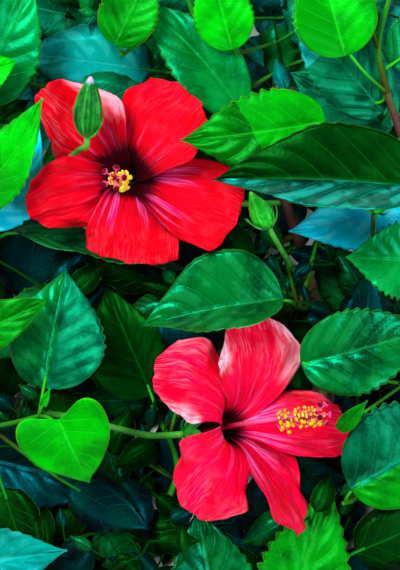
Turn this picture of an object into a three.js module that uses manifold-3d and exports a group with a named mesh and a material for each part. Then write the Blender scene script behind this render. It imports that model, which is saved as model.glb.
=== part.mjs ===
// A cut flowering branch of red hibiscus, lying as it was laid down, in millimetres with +Z up.
// The origin is the middle of the flat cut at the foot of the main stem. The branch runs from
// there along +Y, and everything rests on the level FLOOR that touches the cut's lower edge.

import * as THREE from 'three';
import { mergeVertices } from 'three/addons/utils/BufferGeometryUtils.js';
import Module from 'manifold-3d';

const wasm = await Module();
wasm.setup();

// Driving dimensions
const CUT_RADIUS = 5.5;
const FLOOR = -CUT_RADIUS;
const SEAT_GAP = 0.3;
const LEAF_THICKNESS = 1;
const PETAL_THICKNESS = 1.3;
const PETIOLE_RADIUS = 1.1;
const GOLDEN_ANGLE = 137.5;
const CROWN = { halfWidth: 172, near: 16, far: 446 };
const SPRAY = {
  twigReach: [18, 52],
  leafLength: [54, 84],
  leafWidth: [0.58, 0.68],
  stalkReach: [7, 16],
  tries: 70,
};
const BLOOM = {
  footHeight: 9,
  calyxRim: 17,
  bracts: 6,
  clawRadius: 4,
  clawHalfWidth: 3,
  tubeLength: 23,
  tubeAngle: 9,
  columnLength: 100,
  stamens: 18,
  styles: 5,
};

// Materials
const finish = (color, roughness) => new THREE.MeshStandardMaterial({ color, roughness, metalness: 0 });
const bark = finish('#5a2a20', 0.8);
const greenBark = finish('#2f8f24', 0.6);
const leafGreen = finish('#0b8a1c', 0.4);
const petalRed = finish('#e00a2c', 0.55);
const columnPink = finish('#e8407a', 0.5);
const budGreen = finish('#1f9a22', 0.5);

// Small helpers
const point = ([x, y, z]) => new THREE.Vector3(x, y, z);
const degrees = (angle) => (angle * Math.PI) / 180;
const smooth = (t) => {
  const k = Math.min(1, Math.max(0, t));
  return k * k * (3 - 2 * k);
};

function seeded(seed) {
  let state = seed;
  return () => {
    state = (state * 16807) % 2147483647;
    return state / 2147483647;
  };
}

const between = ([least, most], random) => least + (most - least) * random();

// Closed geometry from a row of rings, with a cap on both ends
const fanCap = (sides) => {
  const faces = [];
  for (let k = 1; k < sides - 1; k += 1) faces.push([0, k, k + 1]);
  return faces;
};

const stripCap = (sides) => {
  const faces = [];
  for (let k = 0; k < sides / 2 - 1; k += 1) {
    faces.push([k, k + 1, sides - 1 - k], [k + 1, sides - 2 - k, sides - 1 - k]);
  }
  return faces;
};

// Closed geometry whose faces point out, whichever way round they were listed
function closedGeometry(corners, faces) {
  const spanned = ([a, b, c]) => corners[a].dot(corners[b].clone().cross(corners[c]));
  const volume = faces.reduce((sum, face) => sum + spanned(face), 0);
  const geometry = new THREE.BufferGeometry().setFromPoints(corners);
  geometry.setIndex(faces.flatMap((face) => (volume < 0 ? [...face].reverse() : face)));
  return geometry;
}

function ringsGeometry(rings, cap) {
  const sides = rings[0].length;
  const last = (rings.length - 1) * sides;
  const faces = [];
  for (let row = 0; row < last; row += sides) {
    for (let side = 0; side < sides; side += 1) {
      const a = row + side;
      const b = row + ((side + 1) % sides);
      faces.push([a, b, b + sides], [a, b + sides, a + sides]);
    }
  }
  for (const [a, b, c] of cap(sides)) faces.push([c, b, a], [last + a, last + b, last + c]);
  return closedGeometry(rings.flat(), faces);
}

// A limb: one tapering round rod along a smooth path. Its foot is cut square to heading, if given.
const pathCurve = (path) => new THREE.CatmullRomCurve3(path.map(point), false, 'catmullrom', 0.5);

function limbGeometry(limb, extra = 0) {
  const { path, radius, tipRadius, heading, sides = 6, steps = (path.length - 1) * 2 } = limb;
  const curve = pathCurve(path);
  const centres = [];
  for (let i = 0; i <= steps; i += 1) centres.push(curve.getPoint(i / steps));
  const rings = [];
  let normal = null;
  for (let i = 0; i <= steps; i += 1) {
    const ahead = centres[Math.min(i + 1, steps)];
    const behind = centres[Math.max(i - 1, 0)];
    const squareCut = i === 0 && heading;
    const along = squareCut ? point(heading) : new THREE.Vector3().subVectors(ahead, behind).normalize();
    if (!normal) normal = new THREE.Vector3(along.y, -along.x, 0.001).normalize();
    normal = normal.clone().addScaledVector(along, -normal.dot(along)).normalize();
    const side = new THREE.Vector3().crossVectors(along, normal);
    const centre = centres[i].clone();
    if (i === steps) centre.addScaledVector(along, extra);
    const size = THREE.MathUtils.lerp(radius, tipRadius, i / steps) + extra;
    const ring = [];
    for (let k = 0; k < sides; k += 1) {
      const turn = (2 * Math.PI * k) / sides;
      ring.push(centre.clone()
        .addScaledVector(normal, size * Math.cos(turn))
        .addScaledVector(side, size * Math.sin(turn)));
    }
    rings.push(ring);
  }
  return ringsGeometry(rings, fanCap);
}

// A thin sheet: a grid of points with normals, given a thickness
function sheetGeometry(rows, thickness) {
  const rings = rows.map((row) => {
    const upper = row.map(({ place, normal }) => place.clone().addScaledVector(normal, thickness / 2));
    const lower = row.map(({ place, normal }) => place.clone().addScaledVector(normal, -thickness / 2));
    return [...upper, ...lower.reverse()];
  });
  return ringsGeometry(rings, stripCap);
}

// Solids that can be joined and cut
function solid(geometry) {
  const bare = geometry.clone();
  bare.deleteAttribute('normal');
  bare.deleteAttribute('uv');
  const merged = mergeVertices(bare, 1e-4);
  return new wasm.Manifold(
    new wasm.Mesh({
      numProp: 3,
      vertProperties: Float32Array.from(merged.attributes.position.array),
      triVerts: Uint32Array.from(merged.index.array),
    }),
  );
}

const joined = (solids) => solids.reduce((whole, next) => whole.add(next));

function geometryOf(shape) {
  const mesh = shape.getMesh();
  const geometry = new THREE.BufferGeometry();
  geometry.setAttribute('position', new THREE.BufferAttribute(Float32Array.from(mesh.vertProperties), 3));
  geometry.setIndex(new THREE.BufferAttribute(Uint32Array.from(mesh.triVerts), 1));
  geometry.computeVertexNormals();
  return geometry;
}

const branch = new THREE.Group();
branch.name = 'hibiscus_branch';

function addNode(name, shape, material) {
  const mesh = new THREE.Mesh(geometryOf(shape), material);
  mesh.name = name;
  branch.add(mesh);
}

// Room: what is already there, as spots with a reach sideways and a reach up and down
const room = [];
const LEAF_REACH = 4.5;
const LEAF_RISE = 2;

function spotsAlong(limb, skipped = 0) {
  const curve = pathCurve(limb.path);
  const count = Math.max(2, Math.ceil(curve.getLength() / 5));
  const spots = [];
  for (let i = 0; i <= count; i += 1) {
    const place = curve.getPoint(i / count);
    const size = THREE.MathUtils.lerp(limb.radius, limb.tipRadius, i / count);
    if (i * 5 >= skipped) spots.push({ place, reach: 1 + size, rise: 1 + size });
  }
  return spots;
}

function keepRoom(spots) {
  const box = new THREE.Box3().setFromPoints(spots.map((spot) => spot.place)).expandByScalar(LEAF_REACH);
  room.push({ box, spots });
}

function touches(some, others) {
  return some.some((here) => others.some((there) => {
    const flat = Math.hypot(here.place.x - there.place.x, here.place.y - there.place.y);
    const high = Math.abs(here.place.z - there.place.z);
    return flat < here.reach + there.reach && high < here.rise + there.rise;
  }));
}

function isClear(spots) {
  const box = new THREE.Box3().setFromPoints(spots.map((spot) => spot.place)).expandByScalar(LEAF_REACH);
  return room.every((other) => !box.intersectsBox(other.box) || !touches(spots, other.spots));
}

// A leaf blade: an oval or heart outline along a bowed midrib, folded up along the midrib.
// roll turns it about the midrib, side makes one half wider, and lobe draws the foot back.
function leafFrame(leaf) {
  const base = point(leaf.base);
  const tip = point(leaf.tip);
  const along = new THREE.Vector3().subVectors(tip, base);
  const length = along.length();
  along.normalize();
  const level = new THREE.Vector3(0, 0, 1).addScaledVector(along, -along.z).normalize();
  const beside = new THREE.Vector3().crossVectors(along, level);
  const roll = degrees(leaf.roll ?? 0);
  const up = level.clone().multiplyScalar(Math.cos(roll)).addScaledVector(beside, Math.sin(roll));
  const across = beside.clone().multiplyScalar(Math.cos(roll)).addScaledVector(level, -Math.sin(roll));
  return { base, along, across, up, length };
}

function leafPlace(leaf, frame, s, v) {
  const { arch = 0.06, sway = 0, side = 0, lobe = 0, fold = 14, peak = 0.7, pointed = 0.5 } = leaf;
  const outline = Math.max(Math.sin(Math.PI * s ** peak), 0) ** (0.6 + pointed * s);
  const half = Math.max((leaf.width / 2) * outline * (1 + side * Math.sign(v)), 0.7);
  const hump = 4 * s * (1 - s);
  const run = s - lobe * Math.abs(v) ** 1.5 * (1 - s) ** 3 * Math.min(1, outline);
  return frame.base.clone()
    .addScaledVector(frame.along, frame.length * run)
    .addScaledVector(frame.up, frame.length * arch * hump + Math.abs(v) * half * Math.sin(degrees(fold)))
    .addScaledVector(frame.across, frame.length * sway * hump + v * half * Math.cos(degrees(fold)));
}

function leafRows(leaf, stations, across) {
  const frame = leafFrame(leaf);
  const rows = [];
  for (let i = 0; i <= stations; i += 1) {
    const s = (i / stations) ** 1.25;
    const row = [];
    for (let k = 0; k <= across; k += 1) {
      row.push({ place: leafPlace(leaf, frame, s, (2 * k) / across - 1), normal: frame.up });
    }
    rows.push(row);
  }
  return rows;
}

function leafSolid(leaf) {
  const stations = leaf.lobe ? 9 : 6;
  return solid(sheetGeometry(leafRows(leaf, stations, 2), LEAF_THICKNESS));
}

// A leaf of a spray: the same outline in few faces, thickest at the midrib and thin at the rim
function slimLeafSolid(leaf) {
  const frame = leafFrame(leaf);
  const shares = [0.2, 0.45, 0.72];
  const right = shares.map((s) => leafPlace(leaf, frame, s, 1));
  const left = shares.map((s) => leafPlace(leaf, frame, s, -1)).reverse();
  const rim = [leafPlace(leaf, frame, 0, 0), ...right, leafPlace(leaf, frame, 1, 0), ...left];
  const middle = leafPlace(leaf, frame, 0.45, 0);
  const top = middle.clone().addScaledVector(frame.up, 0.5 * LEAF_THICKNESS);
  const under = middle.clone().addScaledVector(frame.up, -0.5 * LEAF_THICKNESS);
  const faces = rim.flatMap((_, i) => {
    const next = (i + 1) % rim.length;
    return [[i, next, rim.length], [next, i, rim.length + 1]];
  });
  return solid(closedGeometry([...rim, top, under], faces));
}

const bladeSpots = (rows) => rows.flat().map(({ place }) => ({ place, reach: LEAF_REACH, rise: LEAF_RISE }));
const leafSpots = (leaf) => bladeSpots(leafRows(leaf, 10, 6));

// The stalk of a leaf, from its twig to a little way in under the blade
function petiole(leaf, root) {
  const frame = leafFrame(leaf);
  const end = leafPlace(leaf, frame, 7 / frame.length, 0);
  const middle = root.clone().lerp(frame.base, 0.55);
  middle.z += 0.08 * root.distanceTo(end);
  return {
    path: [root.toArray(), middle.toArray(), end.toArray()],
    radius: PETIOLE_RADIUS,
    tipRadius: 0.8,
    sides: 3,
    steps: 2,
  };
}

function nearestOnTwigs(twigs, target) {
  let best = null;
  for (const twig of twigs) {
    const curve = pathCurve(twig.path);
    for (let i = 2; i <= 22; i += 1) {
      const place = curve.getPoint(i / 24);
      const distance = place.distanceTo(target);
      if (!best || distance < best.distance) best = { place, distance };
    }
  }
  return best.place;
}

// The limbs: the main stem and the two boughs that fork off it, lying on either side
const mainStem = {
  path: [[0, 0, 0], [8, 50, 1], [44, 96, 2], [70, 150, 4], [76, 206, 7], [66, 256, 10], [50, 306, 15],
    [30, 354, 24]],
  heading: [0, 1, 0],
  radius: CUT_RADIUS,
  tipRadius: 2.6,
  sides: 8,
};
const leftBough = {
  path: [[7, 40, -1], [-42, 82, -1.2], [-88, 132, -1.7], [-121, 190, -1.6], [-136, 250, 2], [-138, 306, 13]],
  radius: 4,
  tipRadius: 2.2,
  sides: 8,
};
const rightBough = {
  path: [[44, 96, 1], [86, 124, -1.2], [118, 162, -1.6], [138, 208, -0.6], [142, 258, 10], [130, 308, 30],
    [109, 362, 55]],
  radius: 4,
  tipRadius: 2.2,
  sides: 8,
};

// Blooms: five petals that overlap one way round, joined at their claws in a short ring, round a
// staminal column, all seated in a green calyx on its stalk
// A petal: its turn about the axis and its size, the lean of its blade and how far that bends back,
// its sway, roll and twist, how far its corners drop, and the fold and taper of its tip
function petal(turn, [length, width], [flare, reflex], [sway, roll, twist], [drop, fold = 0, taper = 0.2]) {
  return { turn, length, width, flare, reflex, sway, roll, twist, drop, fold, taper };
}

const upperBloom = {
  name: 'bloom_upper',
  origin: [-40, 314, 20],
  axis: [-0.075, -0.055, 1],
  petals: [
    petal(55, [78, 57], [80, 19], [-9, -23, 12], [0.13, 0.4]),
    petal(127, [88, 54], [77, -6], [13, -22, 9], [0.3, -0.3]),
    petal(194, [77, 47], [80, -8], [10, -23, -4], [0.2, -0.2]),
    petal(277, [67, 54], [88, 38], [-9, -12, 12], [0.1, 0, 0]),
    petal(344, [85, 50], [90, 18], [-8, -14, 10], [0.11, 0, 0]),
  ],
};

const lowerBloom = {
  name: 'bloom_lower',
  origin: [-8, 161, 26],
  axis: [0.79, 0.168, 0.588],
  petals: [
    petal(79, [86, 59], [63, 26], [50, 0, -44], [0.21, 0.5]),
    petal(139, [80, 55], [93, 36], [46, -6, -12], [0.17, 0.2]),
    petal(7, [91, 46], [48, 13], [-7, -26, 5], [0.1, 0.1]),
    petal(305, [95, 62], [62, 35], [25, -20, 8], [0.22]),
    petal(242, [77, 59], [92, 27], [-11, -2, 23], [0.2]),
  ],
};

function bloomFrame({ origin, axis }) {
  const out = point(axis).normalize();
  const first = new THREE.Vector3(1, 0, 0).addScaledVector(out, -out.x).normalize();
  const second = new THREE.Vector3().crossVectors(out, first);
  const radial = (angle) => first.clone().multiplyScalar(Math.cos(degrees(angle)))
    .addScaledVector(second, Math.sin(degrees(angle)));
  return { origin: point(origin), out, radial };
}

// The midline of a petal leaves the tube and flares outwards, swaying to one side
function petalSpine(frame, { turn, length, flare, reflex, sway }) {
  const radial = frame.radial(turn);
  const sideways = frame.radial(turn + 90);
  const tube = BLOOM.tubeLength / length;
  const opened = (q) => smooth((q - tube) / (1 - tube));
  const leaving = (q) => smooth((q - 0.55 * tube) / (1.1 * tube));
  const lean = (q) => degrees(BLOOM.tubeAngle + (flare - BLOOM.tubeAngle) * leaving(q) + reflex * opened(q));
  const swing = (q) => degrees(sway) * opened(q);
  const heading = (q) => radial.clone().multiplyScalar(Math.cos(swing(q)))
    .addScaledVector(sideways, Math.sin(swing(q)));
  const direction = (q) => frame.out.clone().multiplyScalar(Math.cos(lean(q)))
    .addScaledVector(heading(q), Math.sin(lean(q)));
  const STEPS = 80;
  const spots = [frame.origin.clone()
    .addScaledVector(frame.out, BLOOM.footHeight + 1)
    .addScaledVector(radial, BLOOM.clawRadius)];
  for (let i = 0; i < STEPS; i += 1) {
    spots.push(spots[i].clone().addScaledVector(direction((i + 0.5) / STEPS), length / STEPS));
  }
  const at = (q) => {
    const i = Math.min(STEPS - 1, Math.floor(q * STEPS));
    return spots[i].clone().lerp(spots[i + 1], q * STEPS - i);
  };
  return { at, tube, opened, swing, direction, radial, sideways };
}

function petalPlace({ width, drop, roll, twist, fold, taper }, spine, s, v) {
  const q = Math.max(0, s - drop * s ** 3 * Math.abs(v) ** 2.2);
  const swing = spine.swing(q);
  const flat = spine.sideways.clone().multiplyScalar(Math.cos(swing))
    .addScaledVector(spine.radial, -Math.sin(swing));
  const face = new THREE.Vector3().crossVectors(spine.direction(q), flat).normalize();
  const turn = degrees(roll + twist * spine.opened(q));
  const beside = flat.clone().multiplyScalar(Math.cos(turn)).addScaledVector(face, Math.sin(turn));
  const normal = face.clone().multiplyScalar(Math.cos(turn)).addScaledVector(flat, -Math.sin(turn));
  const spread = smooth((s - 0.1) / 0.62) ** 0.9;
  const widest = width / 2 - BLOOM.clawHalfWidth;
  const half = (BLOOM.clawHalfWidth + widest * spread) * (1 - taper * smooth((s - 0.72) / 0.28));
  const hollow = 0.1 + 0.8 * (1 - smooth((q - 0.6 * spine.tube) / (1.2 * spine.tube)));
  const lift = 0.5 * hollow * half * v * v + fold * Math.abs(v) ** 1.5 * half * smooth((s - 0.4) / 0.6);
  return { place: spine.at(q).addScaledVector(beside, half * v).addScaledVector(normal, lift), normal };
}

function petalRows(frame, blade, stations, across) {
  const spine = petalSpine(frame, blade);
  const rows = [];
  for (let i = 0; i <= stations; i += 1) {
    const row = [];
    for (let k = 0; k <= across; k += 1) {
      row.push(petalPlace(blade, spine, i / stations, (2 * k) / across - 1));
    }
    rows.push(row);
  }
  return rows;
}

// A turned piece, its profile given as [radius, height], standing on base and pointing along axis
function turnedSolid(profile, base, axis, segments = 12) {
  const geometry = new THREE.LatheGeometry(profile.map(([x, y]) => new THREE.Vector2(x, y)), segments);
  const turn = new THREE.Quaternion().setFromUnitVectors(new THREE.Vector3(0, 1, 0), axis);
  geometry.applyQuaternion(turn);
  geometry.translate(base.x, base.y, base.z);
  return solid(geometry);
}

function rod(ends, radius, tipRadius, sides = 3) {
  return solid(limbGeometry({ path: ends.map((end) => end.toArray()), radius, tipRadius, sides, steps: 1 }));
}

const ringOf = (count) => Array.from({ length: count }, (_, i) => (360 * i) / count);

function calyxSolid(frame) {
  const { footHeight, calyxRim: rim, bracts } = BLOOM;
  const floor = footHeight - SEAT_GAP;
  const profile = [[0, 0], [2.6, 0], [6, 4], [8.3, rim], [7.4, rim + 0.4], [5.7, floor], [0, floor]];
  const cup = turnedSolid(profile, frame.origin, frame.out, 10);
  const whorl = ringOf(bracts).map((turn) => {
    const spot = (away, up) => frame.origin.clone()
      .addScaledVector(frame.radial(turn), away).addScaledVector(frame.out, up);
    return rod([spot(2, 2.5), spot(11, 8)], 1.3, 0.5);
  });
  return joined([cup, ...whorl]);
}

function corollaSolid(frame, petals) {
  const { footHeight, clawRadius } = BLOOM;
  const ring = [
    [clawRadius - 1.2, footHeight],
    [clawRadius + 1, footHeight],
    [clawRadius + 1.3, footHeight + 3],
    [clawRadius - 1, footHeight + 3],
  ];
  const claws = turnedSolid([...ring, ring[0]], frame.origin, frame.out, 10);
  const blades = petals.map((blade) => solid(sheetGeometry(petalRows(frame, blade, 7, 4), PETAL_THICKNESS)));
  return joined([claws, ...blades]);
}

// The staminal column carries its stamens all round its outer half and ends in five styles
function columnSolid(frame) {
  const { footHeight, columnLength, stamens, styles } = BLOOM;
  const spot = (height, turn = 0, away = 0) => frame.origin.clone()
    .addScaledVector(frame.out, height).addScaledVector(frame.radial(turn), away);
  const pieces = [rod([spot(footHeight), spot(columnLength - 8)], 1.9, 1.2, 6)];
  for (let i = 0; i < stamens; i += 1) {
    const height = columnLength * THREE.MathUtils.lerp(0.56, 0.88, i / (stamens - 1));
    pieces.push(rod([spot(height), spot(height + 2, GOLDEN_ANGLE * i, 7.5)], 0.5, 1.3));
  }
  for (const turn of ringOf(styles)) {
    pieces.push(rod([spot(columnLength - 9), spot(columnLength - 1, turn, 7)], 0.7, 1.9, 4));
  }
  return joined(pieces);
}

// The twigs that carry leaves
const twig = (radius, tipRadius, ...path) => ({ path, radius, tipRadius, sides: 6 });

const innerTwig = twig(2, 1.2, [-116, 180, -1], [-128, 166, 22], [-113, 168, 41], [-88.3, 175, 47]);

// A stalk that ends square under the foot it carries
function stalkUnder(path, foot, out, radius, tipRadius) {
  const below = (depth) => foot.clone().addScaledVector(out, -depth).toArray();
  return { path: [...path, below(7), below(0.7)], radius, tipRadius, sides: 6 };
}

// Buds: a ribbed calyx that narrows to its tip, in a whorl of thin bracts
function budSolid({ base, tip, radius, bracts }) {
  const foot = point(base);
  const length = foot.distanceTo(point(tip));
  const frame = bloomFrame({ origin: base, axis: point(tip).sub(foot).toArray() });
  const profile = [[0, 0], [0.35, 0], [0.95, 0.2], [0.98, 0.45], [0.6, 0.8], [0.16, 1], [0, 1]];
  const body = turnedSolid(profile.map(([x, y]) => [x * radius, y * length]), foot, frame.out, 8);
  const whorl = ringOf(bracts.count).map((turn) => {
    const spot = (away, up) => foot.clone()
      .addScaledVector(frame.radial(turn), away * radius).addScaledVector(frame.out, up * length);
    return rod([spot(0.4, 0.1), spot(bracts.spread, bracts.height)], 1.1, 0.5);
  });
  return joined([body, ...whorl]);
}

const buds = [
  {
    name: 'bud_upper',
    base: [-64, 335, 82],
    tip: [-61, 366, 98],
    radius: 8,
    bracts: { count: 6, spread: 1.15, height: 0.5 },
    stalk: [[-137, 262, 4], [-130, 294, 26], [-102, 308, 42], [-80, 321, 56], [-69, 328, 68]],
    on: leftBough,
  },
  {
    name: 'bud_middle',
    base: [40, 284, 53],
    tip: [29, 304, 62],
    radius: 7,
    bracts: { count: 6, spread: 1.45, height: 0.42 },
    stalk: [[63, 262, 10], [57, 259, 22], [50, 268, 38]],
    on: mainStem,
  },
  {
    name: 'bud_right',
    base: [102, 293, 60],
    tip: [104, 305, 72],
    radius: 5.5,
    bracts: { count: 6, spread: 1.65, height: 0.4 },
    stalk: [[141, 236, 5], [132, 243, 28], [110, 257, 44], [102, 276, 51]],
    on: rightBough,
  },
];

// The stalks of the two blooms
const bloomStalks = {
  bloom_upper: { on: mainStem, path: [[52, 300, 14], [20, 300, 9], [-15, 306, 5], [-34, 312, 7]] },
  bloom_lower: { on: innerTwig, path: [[-89, 175, 47], [-68, 170, 41], [-50, 165, 36], [-31, 160, 28]] },
};

// Foliage: each mass has its own twigs, its larger leaves where they grow, and sprays of
// further leaves that branch off by a seeded rule and fill the room that is left
const masses = [
  {
    name: 'foliage_top',
    on: mainStem,
    twigs: [
      twig(2.6, 1.5, [30, 354, 24], [16, 377, 30], [3, 395, 37], [-9, 424, 40]),
      twig(2, 1.3, [22, 366, 27], [26, 376, 35], [19, 391, 42], [15, 412, 45]),
      twig(1.8, 1.2, [-4, 410, 38], [-28, 400, 30], [-48, 386, 32]),
    ],
    leaves: [
      { base: [-50, 391, 46], tip: [-28, 437, 50], width: 36 },
      { base: [25, 352, 34], tip: [-38, 419, 30], width: 42, sway: 0.05 },
      { base: [19, 388, 48], tip: [5, 438, 50], width: 36 },
    ],
    sprays: 8,
    levels: [-3, 30],
    seed: 11,
  },
  {
    name: 'foliage_top_left',
    on: leftBough,
    twigs: [twig(2.2, 1.4, [-138, 306, 13], [-132, 343, 24], [-118, 376, 33], [-98, 405, 36])],
    leaves: [
      { base: [-134, 359, 44], tip: [-97, 428, 56], width: 54, roll: 8 },
      { base: [-139, 364, 60], tip: [-106, 379, 68], width: 26, pointed: 0.2 },
      { base: [-148, 330, 30], tip: [-101, 360, 38], width: 40 },
    ],
    sprays: 8,
    levels: [-3, 28],
    seed: 23,
  },
  {
    name: 'foliage_left',
    on: leftBough,
    twigs: [
      twig(2.2, 1.4, [-134, 240, 1], [-147, 254, 20], [-152, 276, 40]),
      twig(1.8, 1.3, [-144, 250, 16], [-134, 270, 24], [-118, 280, 28]),
    ],
    leaves: [
      { base: [-138, 294, 58], tip: [-89, 356, 84], width: 37, roll: -12, sway: 0.08, fold: 10 },
      { base: [-147, 290, 40], tip: [-94, 347, 52], width: 46, roll: 10, sway: 0.15 },
      { base: [-111, 283, 28], tip: [-11, 262, 24], width: 36, roll: -74, arch: 0, sway: 0.02 },
      { base: [-152, 211, 52], tip: [-89, 241, 62], width: 30, fold: 6, pointed: 0.1 },
    ],
    sprays: 9,
    levels: [-3, 26],
    seed: 37,
  },
  {
    name: 'foliage_inner_left',
    on: leftBough,
    twigs: [innerTwig, twig(2, 1.2, [-124, 200, -1.4], [-100, 206, 2], [-76, 214, 3])],
    leaves: [
      { base: [-92, 189, 44], tip: [-80, 260, 34], width: 58, roll: -6, fold: 10, arch: 0.05, side: 0.16 },
      { base: [-81, 173, 70], tip: [-65, 134, 48], width: 58, lobe: 0.42, fold: 6, roll: 4, peak: 0.5 },
      { base: [-92, 179, 52], tip: [-87, 190, 60], width: 6, fold: 30 },
    ],
    sprays: 18,
    levels: [-3, 24],
    seed: 41,
  },
  {
    name: 'foliage_low_left',
    on: leftBough,
    twigs: [twig(2.2, 1.3, [-84, 127, -1.6], [-112, 112, 8], [-146, 102, 20])],
    leaves: [
      { base: [-141, 148, 6], tip: [-50, 126, 10], width: 50 },
      { base: [-158, 83, 34], tip: [-78, 94, 46], width: 46 },
    ],
    sprays: 10,
    levels: [-3, 30],
    seed: 53,
  },
  {
    name: 'foliage_low_centre',
    on: mainStem,
    twigs: [twig(2.6, 1.4, [14, 52, 1], [-22, 97, 5], [-14, 140, 8], [-29, 177, 10])],
    leaves: [
      { base: [-29, 183, 12], tip: [-58, 250, 10], width: 50, side: -0.2 },
      { base: [15, 30, 8], tip: [-2, 116, 14], width: 58 },
    ],
    sprays: 18,
    levels: [-3, 16],
    seed: 67,
  },
  {
    name: 'foliage_bottom_right',
    on: mainStem,
    twigs: [twig(2.4, 1.4, [30, 77, 3], [46, 66, 10], [54, 50, 20])],
    leaves: [{ base: [50, 36, 20], tip: [79, 129, 14], width: 56, fold: 8, arch: 0.03 }],
    sprays: 16,
    levels: [-3, 24],
    seed: 71,
  },
  {
    name: 'foliage_low_right',
    on: rightBough,
    twigs: [twig(2.2, 1.3, [98, 136, -1.4], [94, 121, 12], [86, 119, 26])],
    leaves: [{ base: [89, 129, 34], tip: [163, 174, 26], width: 66, roll: 6, fold: 16, side: -0.16 }],
    sprays: 10,
    levels: [-3, 20],
    seed: 83,
  },
  {
    name: 'foliage_centre',
    on: mainStem,
    twigs: [
      twig(2.2, 1.4, [71, 242, 9], [62, 236, 22], [54, 240, 36]),
      twig(1.8, 1.3, [66, 239, 15], [30, 226, 8], [-10, 222, 4]),
    ],
    leaves: [{ base: [49, 242, 48], tip: [-34, 226, 44], width: 68, roll: 32, fold: 36, arch: 0.04 }],
    sprays: 18,
    levels: [-3, 24],
    seed: 97,
  },
  {
    name: 'foliage_right',
    on: rightBough,
    twigs: [
      twig(2.2, 1.4, [126, 176, -1.4], [136, 187, 20], [118, 192, 36]),
      twig(1.8, 1.3, [134, 184, 16], [146, 214, 30], [140, 244, 42]),
    ],
    leaves: [
      { base: [53, 203, 50], tip: [138, 225, 46], width: 52, roll: 6 },
      { base: [134, 263, 60], tip: [84, 266, 66], width: 46 },
      { base: [81, 165, 50], tip: [97, 183, 60], width: 12, fold: 30 },
    ],
    sprays: 12,
    levels: [-3, 26],
    seed: 103,
  },
  {
    name: 'foliage_upper_right',
    on: rightBough,
    twigs: [twig(2, 1.4, [135, 288, 22], [136, 300, 46], [130, 318, 72], [112, 332, 84])],
    leaves: [
      { base: [71, 343, 84], tip: [-11, 332, 84], width: 48, fold: 4, sway: -0.02, side: -0.05 },
      { base: [124, 305, 96], tip: [7, 309, 90], width: 64, roll: 24, fold: 32, arch: 0.05 },
      { base: [134, 296, 36], tip: [53, 282, 28], width: 42 },
    ],
    sprays: 16,
    levels: [-3, 20],
    seed: 109,
  },
  {
    name: 'foliage_top_right',
    on: rightBough,
    twigs: [
      twig(2.2, 1.4, [109, 362, 55], [103, 388, 66], [110, 420, 70]),
      twig(1.6, 1.1, [103, 386, 65.5], [96, 404, 74], [94, 418, 78]),
    ],
    leaves: [
      { base: [83, 381, 72], tip: [67, 439, 70], width: 50 },
      { base: [108, 352, 44], tip: [53, 412, 50], width: 46 },
      { base: [112, 378, 56], tip: [146, 405, 58], width: 40 },
      { base: [115, 344, 26], tip: [54, 377, 30], width: 56 },
    ],
    sprays: 9,
    levels: [-3, 20],
    seed: 127,
  },
  {
    name: 'foliage_behind',
    on: mainStem,
    twigs: [twig(2.4, 1.3, [59, 280, 12], [20, 270, 2], [-30, 280, 0], [-80, 300, 0])],
    leaves: [],
    sprays: 20,
    levels: [-3, 14],
    seed: 131,
  },
];

function insideCrown(spots) {
  return spots.every(({ place }) => Math.abs(place.x) < CROWN.halfWidth && place.y > CROWN.near
    && place.y < CROWN.far && place.z > FLOOR + LEAF_THICKNESS);
}

function sprayLeaf(from, heading, random) {
  const reach = between(SPRAY.stalkReach, random);
  const length = between(SPRAY.leafLength, random);
  const droop = 8 * random();
  const base = [from.x + reach * Math.cos(heading), from.y + reach * Math.sin(heading), from.z + 1];
  const tip = [
    base[0] + length * Math.cos(heading),
    base[1] + length * Math.sin(heading),
    Math.max(base[2] - droop, FLOOR + 1.5),
  ];
  const width = length * between(SPRAY.leafWidth, random);
  const leaf = { base, tip, width, roll: between([-10, 10], random), fold: between([6, 14], random) };
  const stalk = petiole(leaf, from);
  return { leaf, stalk, spots: [...leafSpots(leaf), ...spotsAlong(stalk, 8)] };
}

// One spray: a side twig with a leaf at its tip and one on either side
function sprayOf(mass, number, random) {
  const carrier = mass.twigs[number % mass.twigs.length];
  const curve = pathCurve(carrier.path);
  const share = 0.15 + (0.8 * (number + random())) / mass.sprays;
  const root = curve.getPoint(share);
  const ahead = curve.getTangent(share);
  const turn = (number % 2 ? 1 : -1) * degrees(between([35, 105], random));
  const heading = Math.atan2(ahead.y, ahead.x) + turn;
  const reach = between(SPRAY.twigReach, random);
  const end = root.clone().add(new THREE.Vector3(reach * Math.cos(heading), reach * Math.sin(heading), 0));
  end.z = between(mass.levels, random);
  const middle = root.clone().lerp(end, 0.5);
  middle.z += 2;
  const path = [root.toArray(), middle.toArray(), end.toArray()];
  const stem = { path, radius: 1.4, tipRadius: 1, sides: 3, steps: 2 };
  const stemCurve = pathCurve(path);
  const leaves = [
    sprayLeaf(end, heading + degrees(between([-12, 12], random)), random),
    sprayLeaf(stemCurve.getPoint(0.55), heading + degrees(between([50, 75], random)), random),
    sprayLeaf(stemCurve.getPoint(0.75), heading - degrees(between([50, 75], random)), random),
  ];
  return { stem, stemSpots: spotsAlong(stem, 16), leaves };
}

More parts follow.
